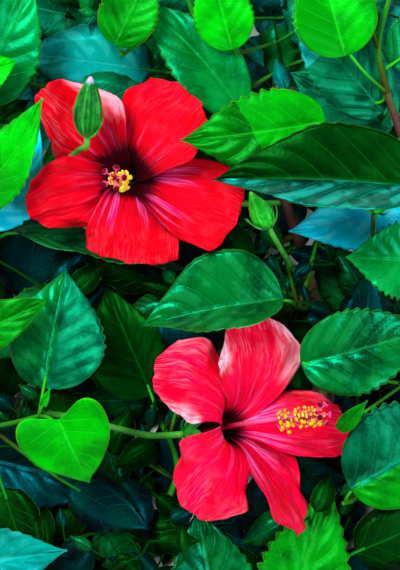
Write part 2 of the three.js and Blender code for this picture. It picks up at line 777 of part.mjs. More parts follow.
// A spray grows only where its twig and the leaf at its tip have room, and drops a side leaf that has none
function growSprays(mass) {
  const random = seeded(mass.seed);
  const fits = (spots) => insideCrown(spots) && isClear(spots);
  const kept = [];
  for (let number = 0; number < mass.sprays; number += 1) {
    let grown = false;
    for (let attempt = 0; attempt < SPRAY.tries && !grown; attempt += 1) {
      const { stem, stemSpots, leaves } = sprayOf(mass, number, random);
      grown = fits(stemSpots) && fits(leaves[0].spots);
      if (grown) {
        const fitting = [];
        for (const next of leaves) {
          const apart = fitting.every(({ spots }) => !touches(spots, next.spots));
          if (apart && fits(next.spots)) fitting.push(next);
        }
        keepRoom(stemSpots);
        fitting.forEach(({ spots }) => keepRoom(spots));
        kept.push({ stem, leaves: fitting });
      }
    }
  }
  return kept;
}

// Everything that is placed by hand keeps its room before the sprays grow
const bloomList = [upperBloom, lowerBloom].map((bloom) => {
  const frame = bloomFrame(bloom);
  for (const blade of bloom.petals) keepRoom(bladeSpots(petalRows(frame, blade, 10, 6)));
  const { on, path } = bloomStalks[bloom.name];
  const stalk = { on, ...stalkUnder(path, frame.origin, frame.out, 1.8, 2.2) };
  keepRoom(spotsAlong(stalk));
  return { ...bloom, frame, stalk };
});

for (const limb of [mainStem, leftBough, rightBough]) keepRoom(spotsAlong(limb));

for (const bud of buds) {
  const foot = point(bud.base);
  bud.stem = stalkUnder(bud.stalk, foot, point(bud.tip).sub(foot).normalize(), 1.4, 1.8);
  keepRoom(spotsAlong(bud.stem));
  keepRoom(spotsAlong({ path: [bud.base, bud.tip], radius: bud.radius, tipRadius: bud.radius }));
}

for (const mass of masses) {
  mass.grown = mass.leaves.map((leaf) => {
    const root = nearestOnTwigs(mass.twigs, point(leaf.base));
    return { leaf, stalk: petiole(leaf, root) };
  });
  for (const twigOfMass of mass.twigs) keepRoom(spotsAlong(twigOfMass));
  for (const { leaf, stalk } of mass.grown) keepRoom([...leafSpots(leaf), ...spotsAlong(stalk)]);
}

for (const mass of masses) {
  mass.sprigs = growSprays(mass);
  mass.grown.push(...mass.sprigs.flatMap(({ leaves }) => leaves));
}

// The nodes
const limbSolid = (limb) => solid(limbGeometry(limb));
const roundLimb = (limb) => solid(limbGeometry(limb, SEAT_GAP));

function largest(shape) {
  return shape.decompose().sort((a, b) => b.volume() - a.volume())[0];
}

const seatedOn = (shape, limb) => largest(shape.subtract(roundLimb(limb)));

addNode('main_stem', limbSolid(mainStem), bark);
addNode('bough_left', seatedOn(limbSolid(leftBough), mainStem), bark);
addNode('bough_right', seatedOn(limbSolid(rightBough), mainStem), bark);

for (const mass of masses) {
  const stems = mass.sprigs.map(({ stem }) => stem);
  const twigs = [...mass.twigs, ...stems, ...mass.grown.map(({ stalk }) => stalk)];
  const blades = [
    ...mass.leaves.map(leafSolid),
    ...mass.sprigs.flatMap(({ leaves }) => leaves.map(({ leaf }) => slimLeafSolid(leaf))),
  ];
  addNode(mass.name, seatedOn(joined([...twigs.map(limbSolid), ...blades]), mass.on), leafGreen);
}

for (const { name, petals, frame, stalk } of bloomList) {
  addNode(`${name}_stalk`, seatedOn(limbSolid(stalk), stalk.on), greenBark);
  addNode(`${name}_calyx`, calyxSolid(frame), budGreen);
  addNode(`${name}_corolla`, corollaSolid(frame, petals), petalRed);
  addNode(`${name}_column`, columnSolid(frame), columnPink);
}

for (const bud of buds) {
  addNode(`${bud.name}_stalk`, seatedOn(limbSolid(bud.stem), bud.on), greenBark);
  addNode(bud.name, budSolid(bud), budGreen);
}

export default branch;
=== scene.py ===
import math

import bpy
import numpy as np
from mathutils import Matrix, Vector


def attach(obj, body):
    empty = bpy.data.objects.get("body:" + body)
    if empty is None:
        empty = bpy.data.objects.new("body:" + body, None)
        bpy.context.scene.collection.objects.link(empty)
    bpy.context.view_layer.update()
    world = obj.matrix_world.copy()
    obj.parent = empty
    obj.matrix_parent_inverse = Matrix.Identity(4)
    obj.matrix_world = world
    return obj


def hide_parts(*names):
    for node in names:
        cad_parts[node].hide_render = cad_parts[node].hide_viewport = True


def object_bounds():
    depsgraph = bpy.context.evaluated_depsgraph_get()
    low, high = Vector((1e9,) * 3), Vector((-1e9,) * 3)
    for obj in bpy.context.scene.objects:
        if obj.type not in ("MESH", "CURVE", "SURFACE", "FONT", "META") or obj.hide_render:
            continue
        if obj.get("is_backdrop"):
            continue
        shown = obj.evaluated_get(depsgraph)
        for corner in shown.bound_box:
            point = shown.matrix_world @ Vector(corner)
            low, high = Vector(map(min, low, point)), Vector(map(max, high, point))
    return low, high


# A cut flowering branch of red hibiscus, laid down on a pale floor. Sizes are in millimetres, as on
# the part, from the middle of the cut at the foot of the main stem, with the branch running along +Y.

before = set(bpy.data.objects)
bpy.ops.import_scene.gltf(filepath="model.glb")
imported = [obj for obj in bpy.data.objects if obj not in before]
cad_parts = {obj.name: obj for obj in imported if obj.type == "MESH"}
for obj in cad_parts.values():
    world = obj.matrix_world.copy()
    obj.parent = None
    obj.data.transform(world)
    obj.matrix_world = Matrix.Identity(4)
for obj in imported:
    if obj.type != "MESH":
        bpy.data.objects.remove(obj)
cad_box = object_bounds()

# Main stem and boughs
# Each limb is a round woody rod that tapers from its foot to the mass of leaves at its tip. The bark is
# red-brown and finely ridged along the limb, with a swollen ring at every old leaf joint.

CUT_RADIUS = 5.5
MM = 0.001


def unit(vector):
    return vector / np.linalg.norm(vector, axis=-1, keepdims=True)


def along_path(path, shares):
    """Points of the smooth curve through path, at shares of its run from 0 to 1."""
    points = np.array(path, float)
    last = len(points) - 1
    points = np.vstack([2 * points[0] - points[1], points, 2 * points[-1] - points[-2]])
    place = np.asarray(shares, float) * last
    i = np.minimum(place.astype(int), last - 1)
    w = (place - i)[..., None]
    before, here, after, beyond = points[i], points[i + 1], points[i + 2], points[i + 3]
    start, end = (after - before) / 2, (beyond - here) / 2
    bend = 3 * (after - here) - 2 * start - end
    return here + w * start + w ** 2 * bend + w ** 3 * (2 * (here - after) + start + end)


def run_length(points):
    return np.linalg.norm(np.diff(points, axis=0), axis=1).sum()


def ring_faces(rings, sides):
    row, side = np.meshgrid(np.arange(rings - 1), np.arange(sides), indexing="ij")
    a = row * sides + side
    b = row * sides + (side + 1) % sides
    return np.stack([a, b, b + sides, a + sides], -1).reshape(-1, 4).tolist()


def rod_faces(rings, sides):
    """The faces round a rod or a turned piece, and its two flat ends."""
    last = (rings - 1) * sides
    return ring_faces(rings, sides) + [list(range(sides))[::-1], list(range(last, last + sides))]


def closed_part(points, faces, **values):
    """A closed shell, with one value of each attribute for each point. Its faces are turned over where the
    volume inside them sums to less than nothing. The sum leaves out most of an end cap, so some bent rods
    stay inside out."""
    flat = points.reshape(-1, 3)
    corners = np.array([face[:3] for face in faces])
    a, b, c = flat[corners[:, 0]], flat[corners[:, 1]], flat[corners[:, 2]]
    rest = np.array([[face[0], face[2], face[3]] for face in faces if len(face) == 4])
    volume = np.einsum("ij,ij->", a, np.cross(b, c))
    if len(rest):
        a, b, c = flat[rest[:, 0]], flat[rest[:, 1]], flat[rest[:, 2]]
        volume += np.einsum("ij,ij->", a, np.cross(b, c))
    if volume < 0:
        faces = [face[::-1] for face in faces]
    spread = {name: np.broadcast_to(value, points.shape[:-1]).reshape(-1) for name, value in values.items()}
    return {"points": flat, "faces": faces, "values": spread}


def limb_part(path, radius, tip_radius, sides=12, step=3.0, relief=None, heading=None):
    """A tapering rod along a path. relief gives a share of the radius for each place and turn."""
    length = run_length(along_path(path, np.linspace(0, 1, 60)))
    shares = np.linspace(0, 1, max(3, int(length / step)) + 1)
    centres = along_path(path, shares)
    along = unit(np.gradient(centres, axis=0))
    if heading is not None:
        along[0] = heading
    turns = np.linspace(0, 2 * np.pi, sides, endpoint=False)
    normal = np.array([along[0][1], -along[0][0], 0.001])
    rings = []
    for centre, ahead, share in zip(centres, along, shares):
        normal = unit(normal - ahead * np.dot(normal, ahead))
        side = np.cross(ahead, normal)
        size = radius + (tip_radius - radius) * share
        sizes = size * (1 + (relief(share * length, turns) if relief else 0 * turns))
        ring = centre + sizes[:, None] * (np.cos(turns)[:, None] * normal + np.sin(turns)[:, None] * side)
        rings.append(ring)
    spread = np.repeat(shares[:, None], sides, 1)
    return closed_part(np.array(rings), rod_faces(len(rings), sides), along=spread)


def add_object(name, data):
    thing = bpy.data.objects.new(name, data)
    bpy.context.scene.collection.objects.link(thing)
    return thing


def new_piece(name, parts, finishes, replaced=(), crease=50):
    """One mesh of all the parts, placed where they lie, in the given finishes."""
    starts = np.cumsum([0] + [len(part["points"]) for part in parts])
    faces = [[start + i for i in face] for start, part in zip(starts, parts) for face in part["faces"]]
    points = np.concatenate([part["points"] for part in parts]) * MM
    mesh = bpy.data.meshes.new(name)
    mesh.from_pydata(points.tolist(), [], faces)
    kinds = np.concatenate([np.full(len(part["faces"]), part.get("finish", 0)) for part in parts])
    mesh.polygons.foreach_set("material_index", kinds.astype(np.int32))
    for key in sorted({key for part in parts for key in part["values"]}):
        spread = [part["values"].get(key, np.zeros(len(part["points"]))) for part in parts]
        attribute = mesh.attributes.new(key, "FLOAT", "POINT")
        attribute.data.foreach_set("value", np.concatenate(spread).astype(np.float32))
    for finish in finishes:
        mesh.materials.append(finish)
    mesh.polygons.foreach_set("use_smooth", np.ones(len(faces), bool))
    mesh.set_sharp_from_angle(angle=math.radians(crease))
    piece = add_object(name, mesh)
    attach(piece, "root")
    if replaced:
        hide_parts(*replaced)


class Nodes:
    """A node tree being put together. Each call adds one node and gives back its output socket."""

    def node(self, kind, inputs=None, output=0, **settings):
        node = self.tree.nodes.new(kind)
        for key, value in settings.items():
            setattr(node, key, value)
        for socket, value in (inputs or {}).items():
            self.set(node.inputs[socket], value)
        return node if output is None else node.outputs[output]

    def set(self, socket, value):
        if isinstance(value, bpy.types.NodeSocket):
            self.tree.links.new(value, socket)
        else:
            socket.default_value = value

    def calc(self, operation, a, b=0.0):
        return self.node("ShaderNodeMath", {0: a, 1: b}, operation=operation)

    def plus(self, a, b):
        return self.calc("ADD", a, b)

    def minus(self, a, b):
        return self.calc("SUBTRACT", a, b)

    def times(self, a, b):
        return self.calc("MULTIPLY", a, b)


class Finish(Nodes):
    """A material being put together."""

    def __init__(self, name):
        self.material = bpy.data.materials.new(name)
        self.material.use_nodes = True
        self.tree = self.material.node_tree
        self.surface = self.tree.nodes["Principled BSDF"]

    def shade(self, **inputs):
        """Sets the inputs of the surface and gives back the material."""
        for name, value in inputs.items():
            self.set(self.surface.inputs[name.replace("_", " ")], value)
        return self.material

    def place(self):
        return self.node("ShaderNodeTexCoord", output=3)

    def value(self, name):
        return self.node("ShaderNodeAttribute", output=2, attribute_name=name)

    def noise(self, scale, detail=3.0, place=None):
        inputs = {"Vector": place or self.place(), "Scale": scale, "Detail": detail}
        return self.node("ShaderNodeTexNoise", inputs)

    def step(self, value, low, high, to_low=0.0, to_high=1.0):
        inputs = {0: value, 1: low, 2: high, 3: to_low, 4: to_high}
        return self.node("ShaderNodeMapRange", inputs, interpolation_type="SMOOTHSTEP")

    def mix(self, share, a, b):
        return self.node("ShaderNodeMix", {0: share, 6: a, 7: b}, output=2, data_type="RGBA")

    def bump(self, height, distance, strength=1.0):
        return self.node("ShaderNodeBump", {"Height": height, "Distance": distance, "Strength": strength})


def colour(code):
    """A colour written as six hexadecimal digits, as the linear numbers that the nodes take."""
    shares = [int(code[i:i + 2], 16) / 255 for i in (0, 2, 4)]
    return [*(share / 12.92 if share <= 0.04045 else ((share + 0.055) / 1.055) ** 2.4 for share in shares), 1]


def bark_relief(away, turns):
    ridges = 0.035 * np.sin(7 * turns + 0.05 * away) + 0.02 * np.sin(13 * turns - 0.09 * away)
    joint = np.exp(-((away % 38 - 19) / 2.2) ** 2)
    return ridges + 0.14 * joint


def tapering(radius, tip_radius, *path, **more):
    """A limb by its radius at its foot and at its tip, and the places that it runs through."""
    return {"path": list(path), "radius": radius, "tip_radius": tip_radius, **more}


limbs = {
    "main_stem": tapering(CUT_RADIUS, 2.6, [0, 0, 0], [8, 50, 1], [44, 96, 2], [70, 150, 4], [76, 206, 7],
                          [66, 256, 10], [50, 306, 15], [30, 354, 24], heading=[0, 1, 0]),
    "bough_left": tapering(4, 2.2, [7, 40, -1], [-42, 82, -1.2], [-88, 132, -1.7], [-121, 190, -1.6],
                           [-136, 250, 2], [-138, 306, 13]),
    "bough_right": tapering(4, 2.2, [44, 96, 1], [86, 124, -1.2], [118, 162, -1.6], [138, 208, -0.6],
                            [142, 258, 10], [130, 308, 30], [109, 362, 55]),
}

bark = Finish("hibiscus_bark")
long_grain = bark.node("ShaderNodeMapping", {"Vector": bark.place(), "Scale": (900, 260, 900)})
grain = bark.noise(1.0, 5.0, long_grain)
patches = bark.noise(60.0, 2.0)
brown = bark.mix(grain, colour("2d0f0a"), colour("5f2a1c"))
bark.shade(
    Base_Color=bark.mix(bark.step(patches, 0.45, 0.7), brown, colour("285a14")),
    Roughness=bark.step(grain, 0.2, 0.8, 0.55, 0.85),
    Normal=bark.bump(grain, 0.0006),
)

for name, limb in limbs.items():
    rod = limb_part(**limb, sides=28, step=1.2, relief=bark_relief)
    new_piece(f"{name}_bark", [rod], [bark.material], [name], crease=70)

# Blooms
# Each bloom is five thin satin petals that overlap one way round and flare out of a narrow tube. They are
# joined at their claws in a short ring, which sits in a green calyx, and a pink column stands out of it.

FOOT_HEIGHT = 9
CLAW_RADIUS = 4
CLAW_HALF_WIDTH = 3
TUBE_LENGTH = 23
TUBE_ANGLE = 9
COLUMN_LENGTH = 100
GOLDEN_ANGLE = 137.5
PETAL_GRID = (84, 44)
PETAL_THICKNESS = 0.5
SPINE_STEPS = 80


def petal(turn, size, lean, sway, drop, fold=0.0, taper=0.2, **looks):
    """A petal by its turn about the axis, its length and width, the lean of its blade and how far that bends
    back, its sway, roll and twist, how far its corners drop, and the fold and taper of its tip. Its looks are
    the height and phase of its ruffles, how much painted rim light its two rims get, its pink streaks, its
    pale veins with a painted sheen, how much painted shadow lies on it, and what is drawn a little
    differently from the plain petal that the leaves grow around."""
    names = ["turn", "length", "width", "flare", "reflex", "sway", "roll", "twist", "drop", "fold", "taper"]
    return dict(zip(names, [turn, *size, *lean, *sway, drop, fold, taper])) | looks


def smooth(t):
    k = np.clip(t, 0, 1)
    return k * k * (3 - 2 * k)


def axis_frame(origin, axis):
    out = unit(np.array(axis, float))
    first = unit(np.array([1, 0, 0]) - out * out[0])
    return {"origin": np.array(origin, float), "out": out, "first": first, "second": np.cross(out, first)}


def radial(axes, angle):
    turn = np.radians(angle)
    return np.cos(turn)[..., None] * axes["first"] + np.sin(turn)[..., None] * axes["second"]


def petal_places(axes, blade, s, v, relief=0.0):
    """Places and normals on a petal, s from its claw to its tip and v from one edge to the other."""
    tube = TUBE_LENGTH / blade["length"]
    ahead, aside = radial(axes, blade["turn"]), radial(axes, blade["turn"] + 90)

    def opened(q):
        return smooth((q - tube) / (1 - tube))

    def direction(q):
        leaving = smooth((q - 0.55 * tube) / (1.1 * tube))
        lean = np.radians(TUBE_ANGLE + (blade["flare"] - TUBE_ANGLE) * leaving + blade["reflex"] * opened(q))
        swing = np.radians(blade["sway"]) * opened(q)
        heading = np.cos(swing)[..., None] * ahead + np.sin(swing)[..., None] * aside
        return np.cos(lean)[..., None] * axes["out"] + np.sin(lean)[..., None] * heading

    run = np.linspace(0, 1, SPINE_STEPS + 1)
    steps = direction((run[:-1] + run[1:]) / 2) * blade["length"] / SPINE_STEPS
    start = axes["origin"] + axes["out"] * (FOOT_HEIGHT + 1) + ahead * CLAW_RADIUS
    spine = np.vstack([start, start + np.cumsum(steps, 0)])
    q = np.maximum(0, s - s ** 3 * (blade["drop"] * np.abs(v) ** 2.2 - blade.get("slant", 0) * v))
    at = np.stack([np.interp(q, run, spine[:, axis]) for axis in range(3)], -1)
    swing = np.radians(blade["sway"]) * opened(q)
    flat = np.cos(swing)[..., None] * aside - np.sin(swing)[..., None] * ahead
    face = unit(np.cross(direction(q), flat))
    turn = np.radians(blade["roll"] + blade["twist"] * opened(q))[..., None]
    beside = np.cos(turn) * flat + np.sin(turn) * face
    normal = np.cos(turn) * face - np.sin(turn) * flat
    spread = smooth((s - 0.1) / 0.62) ** 0.9
    half = CLAW_HALF_WIDTH + (blade["width"] / 2 - CLAW_HALF_WIDTH) * spread
    half = half * (1 - blade["taper"] * smooth((s - 0.72) / 0.28))
    hollow = 0.1 + 0.8 * (1 - smooth((q - 0.6 * tube) / (1.2 * tube)))
    lift = 0.5 * hollow * half * v ** 2 + blade["fold"] * np.abs(v) ** 1.5 * half * smooth((s - 0.4) / 0.6)
    return at + beside * (half * v)[..., None] + normal * (lift + relief)[..., None], normal


def petal_relief(blade, s, v):
    """Ruffles along the rim, crinkled pleats that fan out from the claw, and a crease down the middle."""
    phase = blade["phase"]
    bent = v + 0.1 * np.sin(4 * s + phase) + 0.04 * np.sin(11 * s - 2 * phase)
    opened = smooth((s - 0.3) / 0.3)
    edge, end = smooth((np.abs(v) - 0.4) / 0.6), smooth((s - 0.72) / 0.28)
    side = edge * np.sin(2 * np.pi * (2.7 * s + 0.2 * v) + phase)
    tip = end * np.sin(2 * np.pi * 1.6 * bent + 2 * phase)
    fine = (0.6 * edge + end) * np.sin(2 * np.pi * (3.7 * bent + 2.9 * s) - phase)
    pleats = 0.4 * np.sin(2 * np.pi * 1.9 * bent + 3 * s + phase)
    pleats = pleats + 0.16 * np.sin(2 * np.pi * 5.3 * bent + 2 * phase)
    crinkles = 0.3 * np.sin(2 * np.pi * (3.1 * bent + 4.3 * s) + phase)
    crinkles = crinkles * np.sin(2 * np.pi * (2.3 * bent - 3.7 * s))
    crease = -0.7 * np.exp(-(v / 0.1) ** 2) * (1 - 0.5 * s)
    return opened * (blade["ruffle"] * (side + 0.8 * tip + 0.2 * fine) + pleats + crinkles + crease)


def slit_faces(width, start):
    """Flat strips that close the open end of a thin sheet's ring of points."""
    ring = 2 * width - 2
    faces = [[0, 1, ring - 1], [width - 2, width - 1, width]]
    faces += [[k, k + 1, ring - k - 1, ring - k] for k in range(1, width - 2)]
    return [[start + i for i in face] for face in faces]


def sheet_part(places, normals, thickness, **values):
    """A thin closed sheet, thickest along its middle and sharp at its sides."""
    rows, width = places.shape[:2]
    swell = np.sqrt(1 - np.linspace(-1, 1, width) ** 2)[:, None] * thickness / 2
    lower = (places - normals * swell)[:, -2:0:-1]
    ring = np.concatenate([places + normals * swell, lower], axis=1)
    sides = 2 * width - 2
    faces = ring_faces(rows, sides) + slit_faces(width, (rows - 1) * sides)
    faces += [face[::-1] for face in slit_faces(width, 0)]
    spread = {key: np.concatenate([value, value[:, -2:0:-1]], axis=1) for key, value in values.items()}
    return closed_part(ring, faces, **spread)


def blade_grid(rows, columns):
    """Shares along a blade from 0 to 1, and across it from -1 to 1, at every crossing of a grid."""
    return np.meshgrid(np.linspace(0, 1, rows + 1), np.linspace(-1, 1, columns + 1), indexing="ij")


def petal_part(axes, blade):
    blade = blade | blade.get("drawn", {})
    s, v = blade_grid(*PETAL_GRID)
    scallop = 0.012 * s ** 6 * (np.sin(9 * v + blade["phase"]) + 0.3 * np.sin(23 * v - blade["phase"]))
    places, normals = petal_places(axes, blade, s - scallop, v, petal_relief(blade, s, v))
    # Painted rim light: each side's rim is painted paler towards its edge and its tip.
    near, far = blade["pale"]
    rim = np.where(v < 0, near, far) * smooth((np.abs(v) - 0.25) / 0.75) * smooth((s - 0.45) / 0.3)
    marks = {key: s * 0 + blade.get(key, 0) for key in ("streak", "frost", "dusk")}
    return sheet_part(places, normals, PETAL_THICKNESS, along=s, across=v, rim=rim, **marks)


def turned_part(axes, radii, heights, **values):
    """A closed turned piece, its radius and height given for each ring and turn."""
    turns = np.linspace(0, 360, radii.shape[1], endpoint=False)
    rings = axes["origin"] + radii[..., None] * radial(axes, turns) + heights[..., None] * axes["out"]
    return closed_part(rings, rod_faces(len(rings), len(turns)), **values)


blooms = [
    {
        "name": "bloom_upper",
        "axes": axis_frame([-40, 314, 20], [-0.075, -0.055, 1]),
        "stalk": [[52, 300, 14], [20, 300, 9], [-15, 306, 5], [-34, 312, 7]],
        "stamens": {"Count": 90, "Length": 0.0042, "Side": math.radians(-60), "Bias": 0.35},
        "petals": [
            petal(55, (78, 57), (80, 19), (-9, -23, 12), 0.13, 0.4, ruffle=1.8, phase=0.4, pale=(0, 0.1),
                  streak=0.1, frost=0.1),
            petal(127, (88, 54), (77, -6), (13, -22, 9), 0.3, -0.3, ruffle=1.7, phase=1.9, pale=(1.4, 0.2),
                  streak=0.2, frost=0.6),
            petal(194, (77, 47), (80, -8), (10, -23, -4), 0.2, -0.2, ruffle=2.4, phase=3.1, pale=(0.1, 0.1),
                  streak=0.1, frost=0.1, dusk=0.3),
            petal(277, (67, 54), (88, 38), (-9, -12, 12), 0.1, 0, 0, ruffle=1.0, phase=4.4, pale=(0.2, 0),
                  streak=0.55, frost=0.2, drawn={"reflex": 30, "slant": 0.045, "drop": 0.12}),
            petal(344, (85, 50), (90, 18), (-8, -14, 10), 0.11, 0, 0, ruffle=1.6, phase=5.3, pale=(0, 0.1),
                  streak=0.6, frost=0.1, dusk=0.35),
        ],
    },
    {
        "name": "bloom_lower",
        "axes": axis_frame([-8, 161, 26], [0.79, 0.168, 0.588]),
        "stalk": [[-89, 175, 47], [-68, 170, 41], [-50, 165, 36], [-31, 160, 28]],
        "stamens": {"Count": 110, "Foot": 0.065, "Head": 0.093, "Length": 0.0052, "Side": math.radians(-60),
                    "Bias": 0.2},
        "petals": [
            petal(79, (86, 59), (63, 26), (50, 0, -44), 0.21, 0.5, ruffle=2.0, phase=0.9, pale=(0.9, 1.4),
                  streak=0.3, frost=0.7),
            petal(139, (80, 55), (93, 36), (46, 6, -12), 0.17, 0.2, ruffle=1.6, phase=2.2, pale=(0.4, 0.8),
                  streak=0.3, frost=0.5),
            petal(7, (91, 46), (48, 13), (-7, -26, 5), 0.1, 0.1, ruffle=1.2, phase=3.7, pale=(0.1, 0.3),
                  streak=0.9, frost=0.2, dusk=0.3, drawn={"length": 95, "width": 49, "slant": -0.06}),
            petal(305, (95, 62), (62, 35), (25, -20, 8), 0.22, ruffle=1.7, phase=4.9, pale=(0.1, 0.1),
                  streak=1.0, frost=0.1),
            petal(242, (77, 59), (92, 27), (-11, -2, 23), 0.2, ruffle=2.4, phase=5.8, pale=(0.2, 0.3),
                  streak=0.4, frost=0.2),
        ],
    },
]


class Growth(Nodes):
    """A Geometry Nodes tree being put together, with named inputs and one mesh as its result."""

    def __init__(self, name, counts, sizes, materials):
        self.tree = bpy.data.node_groups.new(name, "GeometryNodeTree")
        for label in materials:
            self.new_input(label, "Material")
        for kind, inputs in (("Int", counts), ("Float", sizes)):
            for label, value in inputs.items():
                self.new_input(label, kind).default_value = value
        self.tree.interface.new_socket("Geometry", in_out="OUTPUT", socket_type="NodeSocketGeometry")
        self.given = self.node("NodeGroupInput", output=None)
        self.result = self.node("NodeGroupOutput", output=None)

    def new_input(self, label, kind):
        return self.tree.interface.new_socket(label, in_out="INPUT", socket_type=f"NodeSocket{kind}")

    def size(self, label):
        return self.given.outputs[label]

    def join(self, *shapes):
        joined = self.node("GeometryNodeJoinGeometry", output=None)
        for shape in shapes:
            self.tree.links.new(shape, joined.inputs[0])
        return joined.outputs[0]

    def vector(self, x=0.0, y=0.0, z=0.0):
        return self.node("ShaderNodeCombineXYZ", {0: x, 1: y, 2: z})

    def chance(self, least, most, seed):
        return self.node("FunctionNodeRandomValue", {2: least, 3: most, "Seed": seed}, output=1)

    def keep(self, shape, label, value):
        inputs = {"Geometry": shape, "Name": label, "Value": value}
        return self.node("GeometryNodeStoreNamedAttribute", inputs, data_type="FLOAT", domain="POINT")

    def bend(self, points, middle, end):
        """A curve from the origin to end that bends towards middle."""
        inputs = {"Resolution": points, "Start": (0, 0, 0), "Middle": middle, "End": end}
        return self.node("GeometryNodeCurveQuadraticBezier", inputs)

    def rod(self, run, sides, radius, **inputs):
        """A rod with closed ends along a curve."""
        profile = self.node("GeometryNodeCurvePrimitiveCircle", {"Resolution": sides, "Radius": radius})
        inputs |= {"Curve": run, "Profile Curve": profile, "Fill Caps": True}
        return self.node("GeometryNodeCurveToMesh", inputs)

    def set_on(self, points, shape, lean, turn, **inputs):
        inputs |= {"Points": points, "Instance": shape, "Rotation": self.vector(0.0, lean, turn)}
        return self.node("GeometryNodeInstanceOnPoints", inputs)

    def finish_with(self, shape, material, chosen=None, other=None):
        """Ends the tree with one material, and another one on the faces that are chosen."""
        shape = self.node("GeometryNodeRealizeInstances", {"Geometry": shape})
        shape = self.node("GeometryNodeSetMaterial", {"Geometry": shape, "Material": material})
        if chosen:
            inputs = {"Geometry": shape, "Selection": chosen, "Material": other}
            shape = self.node("GeometryNodeSetMaterial", inputs)
        self.tree.links.new(shape, self.result.inputs[0])


def grow(name, growth, axes, slot, **inputs):
    """The plain mesh that a tree gives for these inputs, stood on axes and pointing along them."""
    piece = add_object(name, bpy.data.meshes.new(name))
    modifier = piece.modifiers.new("growth", "NODES")
    modifier.node_group = growth.tree
    for socket in growth.tree.interface.items_tree:
        if socket.in_out == "INPUT" and socket.name in inputs:
            modifier[socket.identifier] = inputs[socket.name]
    shown = piece.evaluated_get(bpy.context.evaluated_depsgraph_get())
    mesh = bpy.data.meshes.new_from_object(shown)
    piece.modifiers.remove(modifier)
    columns = [axes["first"], axes["second"], axes["out"], axes["origin"] * MM]
    rows = [[float(column[row]) for column in columns] for row in range(3)]
    mesh.transform(Matrix([*rows, [0, 0, 0, 1]]))
    mesh.polygons.foreach_set("use_smooth", np.ones(len(mesh.polygons), bool))
    piece.data = mesh
    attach(piece, "root")


def whorl_growth():
    """Slim curved bracts set evenly round the axis, each a little out of line with the next."""
    whorl = Growth(
        "whorl_of_bracts",
        counts={"Count": 6, "Seed": 1},
        sizes={"Ring": 0.002, "Reach": 0.009, "Height": 0.005, "Thickness": 0.0013},
        materials=["Material"],
    )
    reach, height, seed, count = (whorl.size(label) for label in ("Reach", "Height", "Seed", "Count"))
    middle = whorl.vector(whorl.times(reach, 0.75), 0.0, whorl.times(height, 0.15))
    run = whorl.bend(7, middle, whorl.vector(reach, 0.0, height))
    share = whorl.node("GeometryNodeSplineParameter")
    narrowing = whorl.minus(1.0, whorl.times(share, 0.8))
    bract = whorl.rod(whorl.keep(run, "along", share), 6, whorl.size("Thickness"), Scale=narrowing)
    ring = whorl.node("GeometryNodeMeshCircle", {"Vertices": count, "Radius": whorl.size("Ring")})
    even = whorl.calc("DIVIDE", whorl.node("GeometryNodeInputIndex"), count)
    turn = whorl.plus(whorl.times(even, math.tau), whorl.chance(-0.2, 0.2, seed))
    lift = whorl.chance(-0.25, 0.15, whorl.plus(seed, 1.0))
    whorl.finish_with(whorl.set_on(ring, bract, lift, turn), whorl.size("Material"))
    return whorl


def stamen_growth():
    """Thin filaments that climb round the column in a spiral, each with a kidney-shaped anther at its end,
    and the longer ones on one side."""
    stamens = Growth(
        "spiral_of_stamens",
        counts={"Count": 70, "Seed": 1},
        sizes={"Foot": 0.06, "Head": 0.09, "Length": 0.005, "Filament": 0.00022, "Anther": 0.001,
               "Turn": math.radians(GOLDEN_ANGLE), "Side": 0.0, "Bias": 0.0},
        materials=["Filament_Material", "Anther_Material"],
    )
    index, seed, length = stamens.node("GeometryNodeInputIndex"), stamens.size("Seed"), stamens.size("Length")
    span = stamens.minus(stamens.size("Head"), stamens.size("Foot"))
    climb = stamens.times(span, stamens.calc("DIVIDE", index, stamens.size("Count")))
    line = stamens.node("GeometryNodeMeshLine", {"Count": stamens.size("Count"), "Offset": (0, 0, 0)})
    height = stamens.plus(stamens.size("Foot"), climb)
    inputs = {"Geometry": line, "Position": stamens.vector(0.0, 0.0, height)}
    points = stamens.node("GeometryNodeSetPosition", inputs)
    end = stamens.vector(length, 0.0, stamens.times(length, 0.5))
    run = stamens.bend(4, stamens.vector(stamens.times(length, 0.7)), end)
    run = stamens.keep(run, "along", stamens.node("GeometryNodeSplineParameter"))
    filament = stamens.rod(run, 5, stamens.size("Filament"))
    inputs = {"Segments": 7, "Rings": 5, "Radius": stamens.size("Anther")}
    inputs = {"Geometry": stamens.node("GeometryNodeMeshUVSphere", inputs), "Translation": end}
    anther = stamens.node("GeometryNodeTransform", inputs | {"Scale": (0.8, 1.3, 0.8)})
    stamen = stamens.join(filament, stamens.keep(anther, "anther", 1.0))
    turn = stamens.plus(stamens.times(index, stamens.size("Turn")), stamens.chance(-0.4, 0.4, seed))
    lean = stamens.chance(-0.55, 0.35, stamens.plus(seed, 1.0))
    nearness = stamens.calc("COSINE", stamens.minus(turn, stamens.size("Side")))
    favour = stamens.plus(1.0, stamens.times(nearness, stamens.size("Bias")))
    size = stamens.times(stamens.chance(0.7, 1.2, stamens.plus(seed, 2.0)), favour)
    grown = stamens.set_on(points, stamen, lean, turn, Scale=size)
    chosen = stamens.node("GeometryNodeInputNamedAttribute", {"Name": "anther"}, data_type="FLOAT")
    chosen = stamens.calc("GREATER_THAN", chosen, 0.5)
    stamens.finish_with(grown, stamens.size("Filament_Material"), chosen, stamens.size("Anther_Material"))
    return stamens


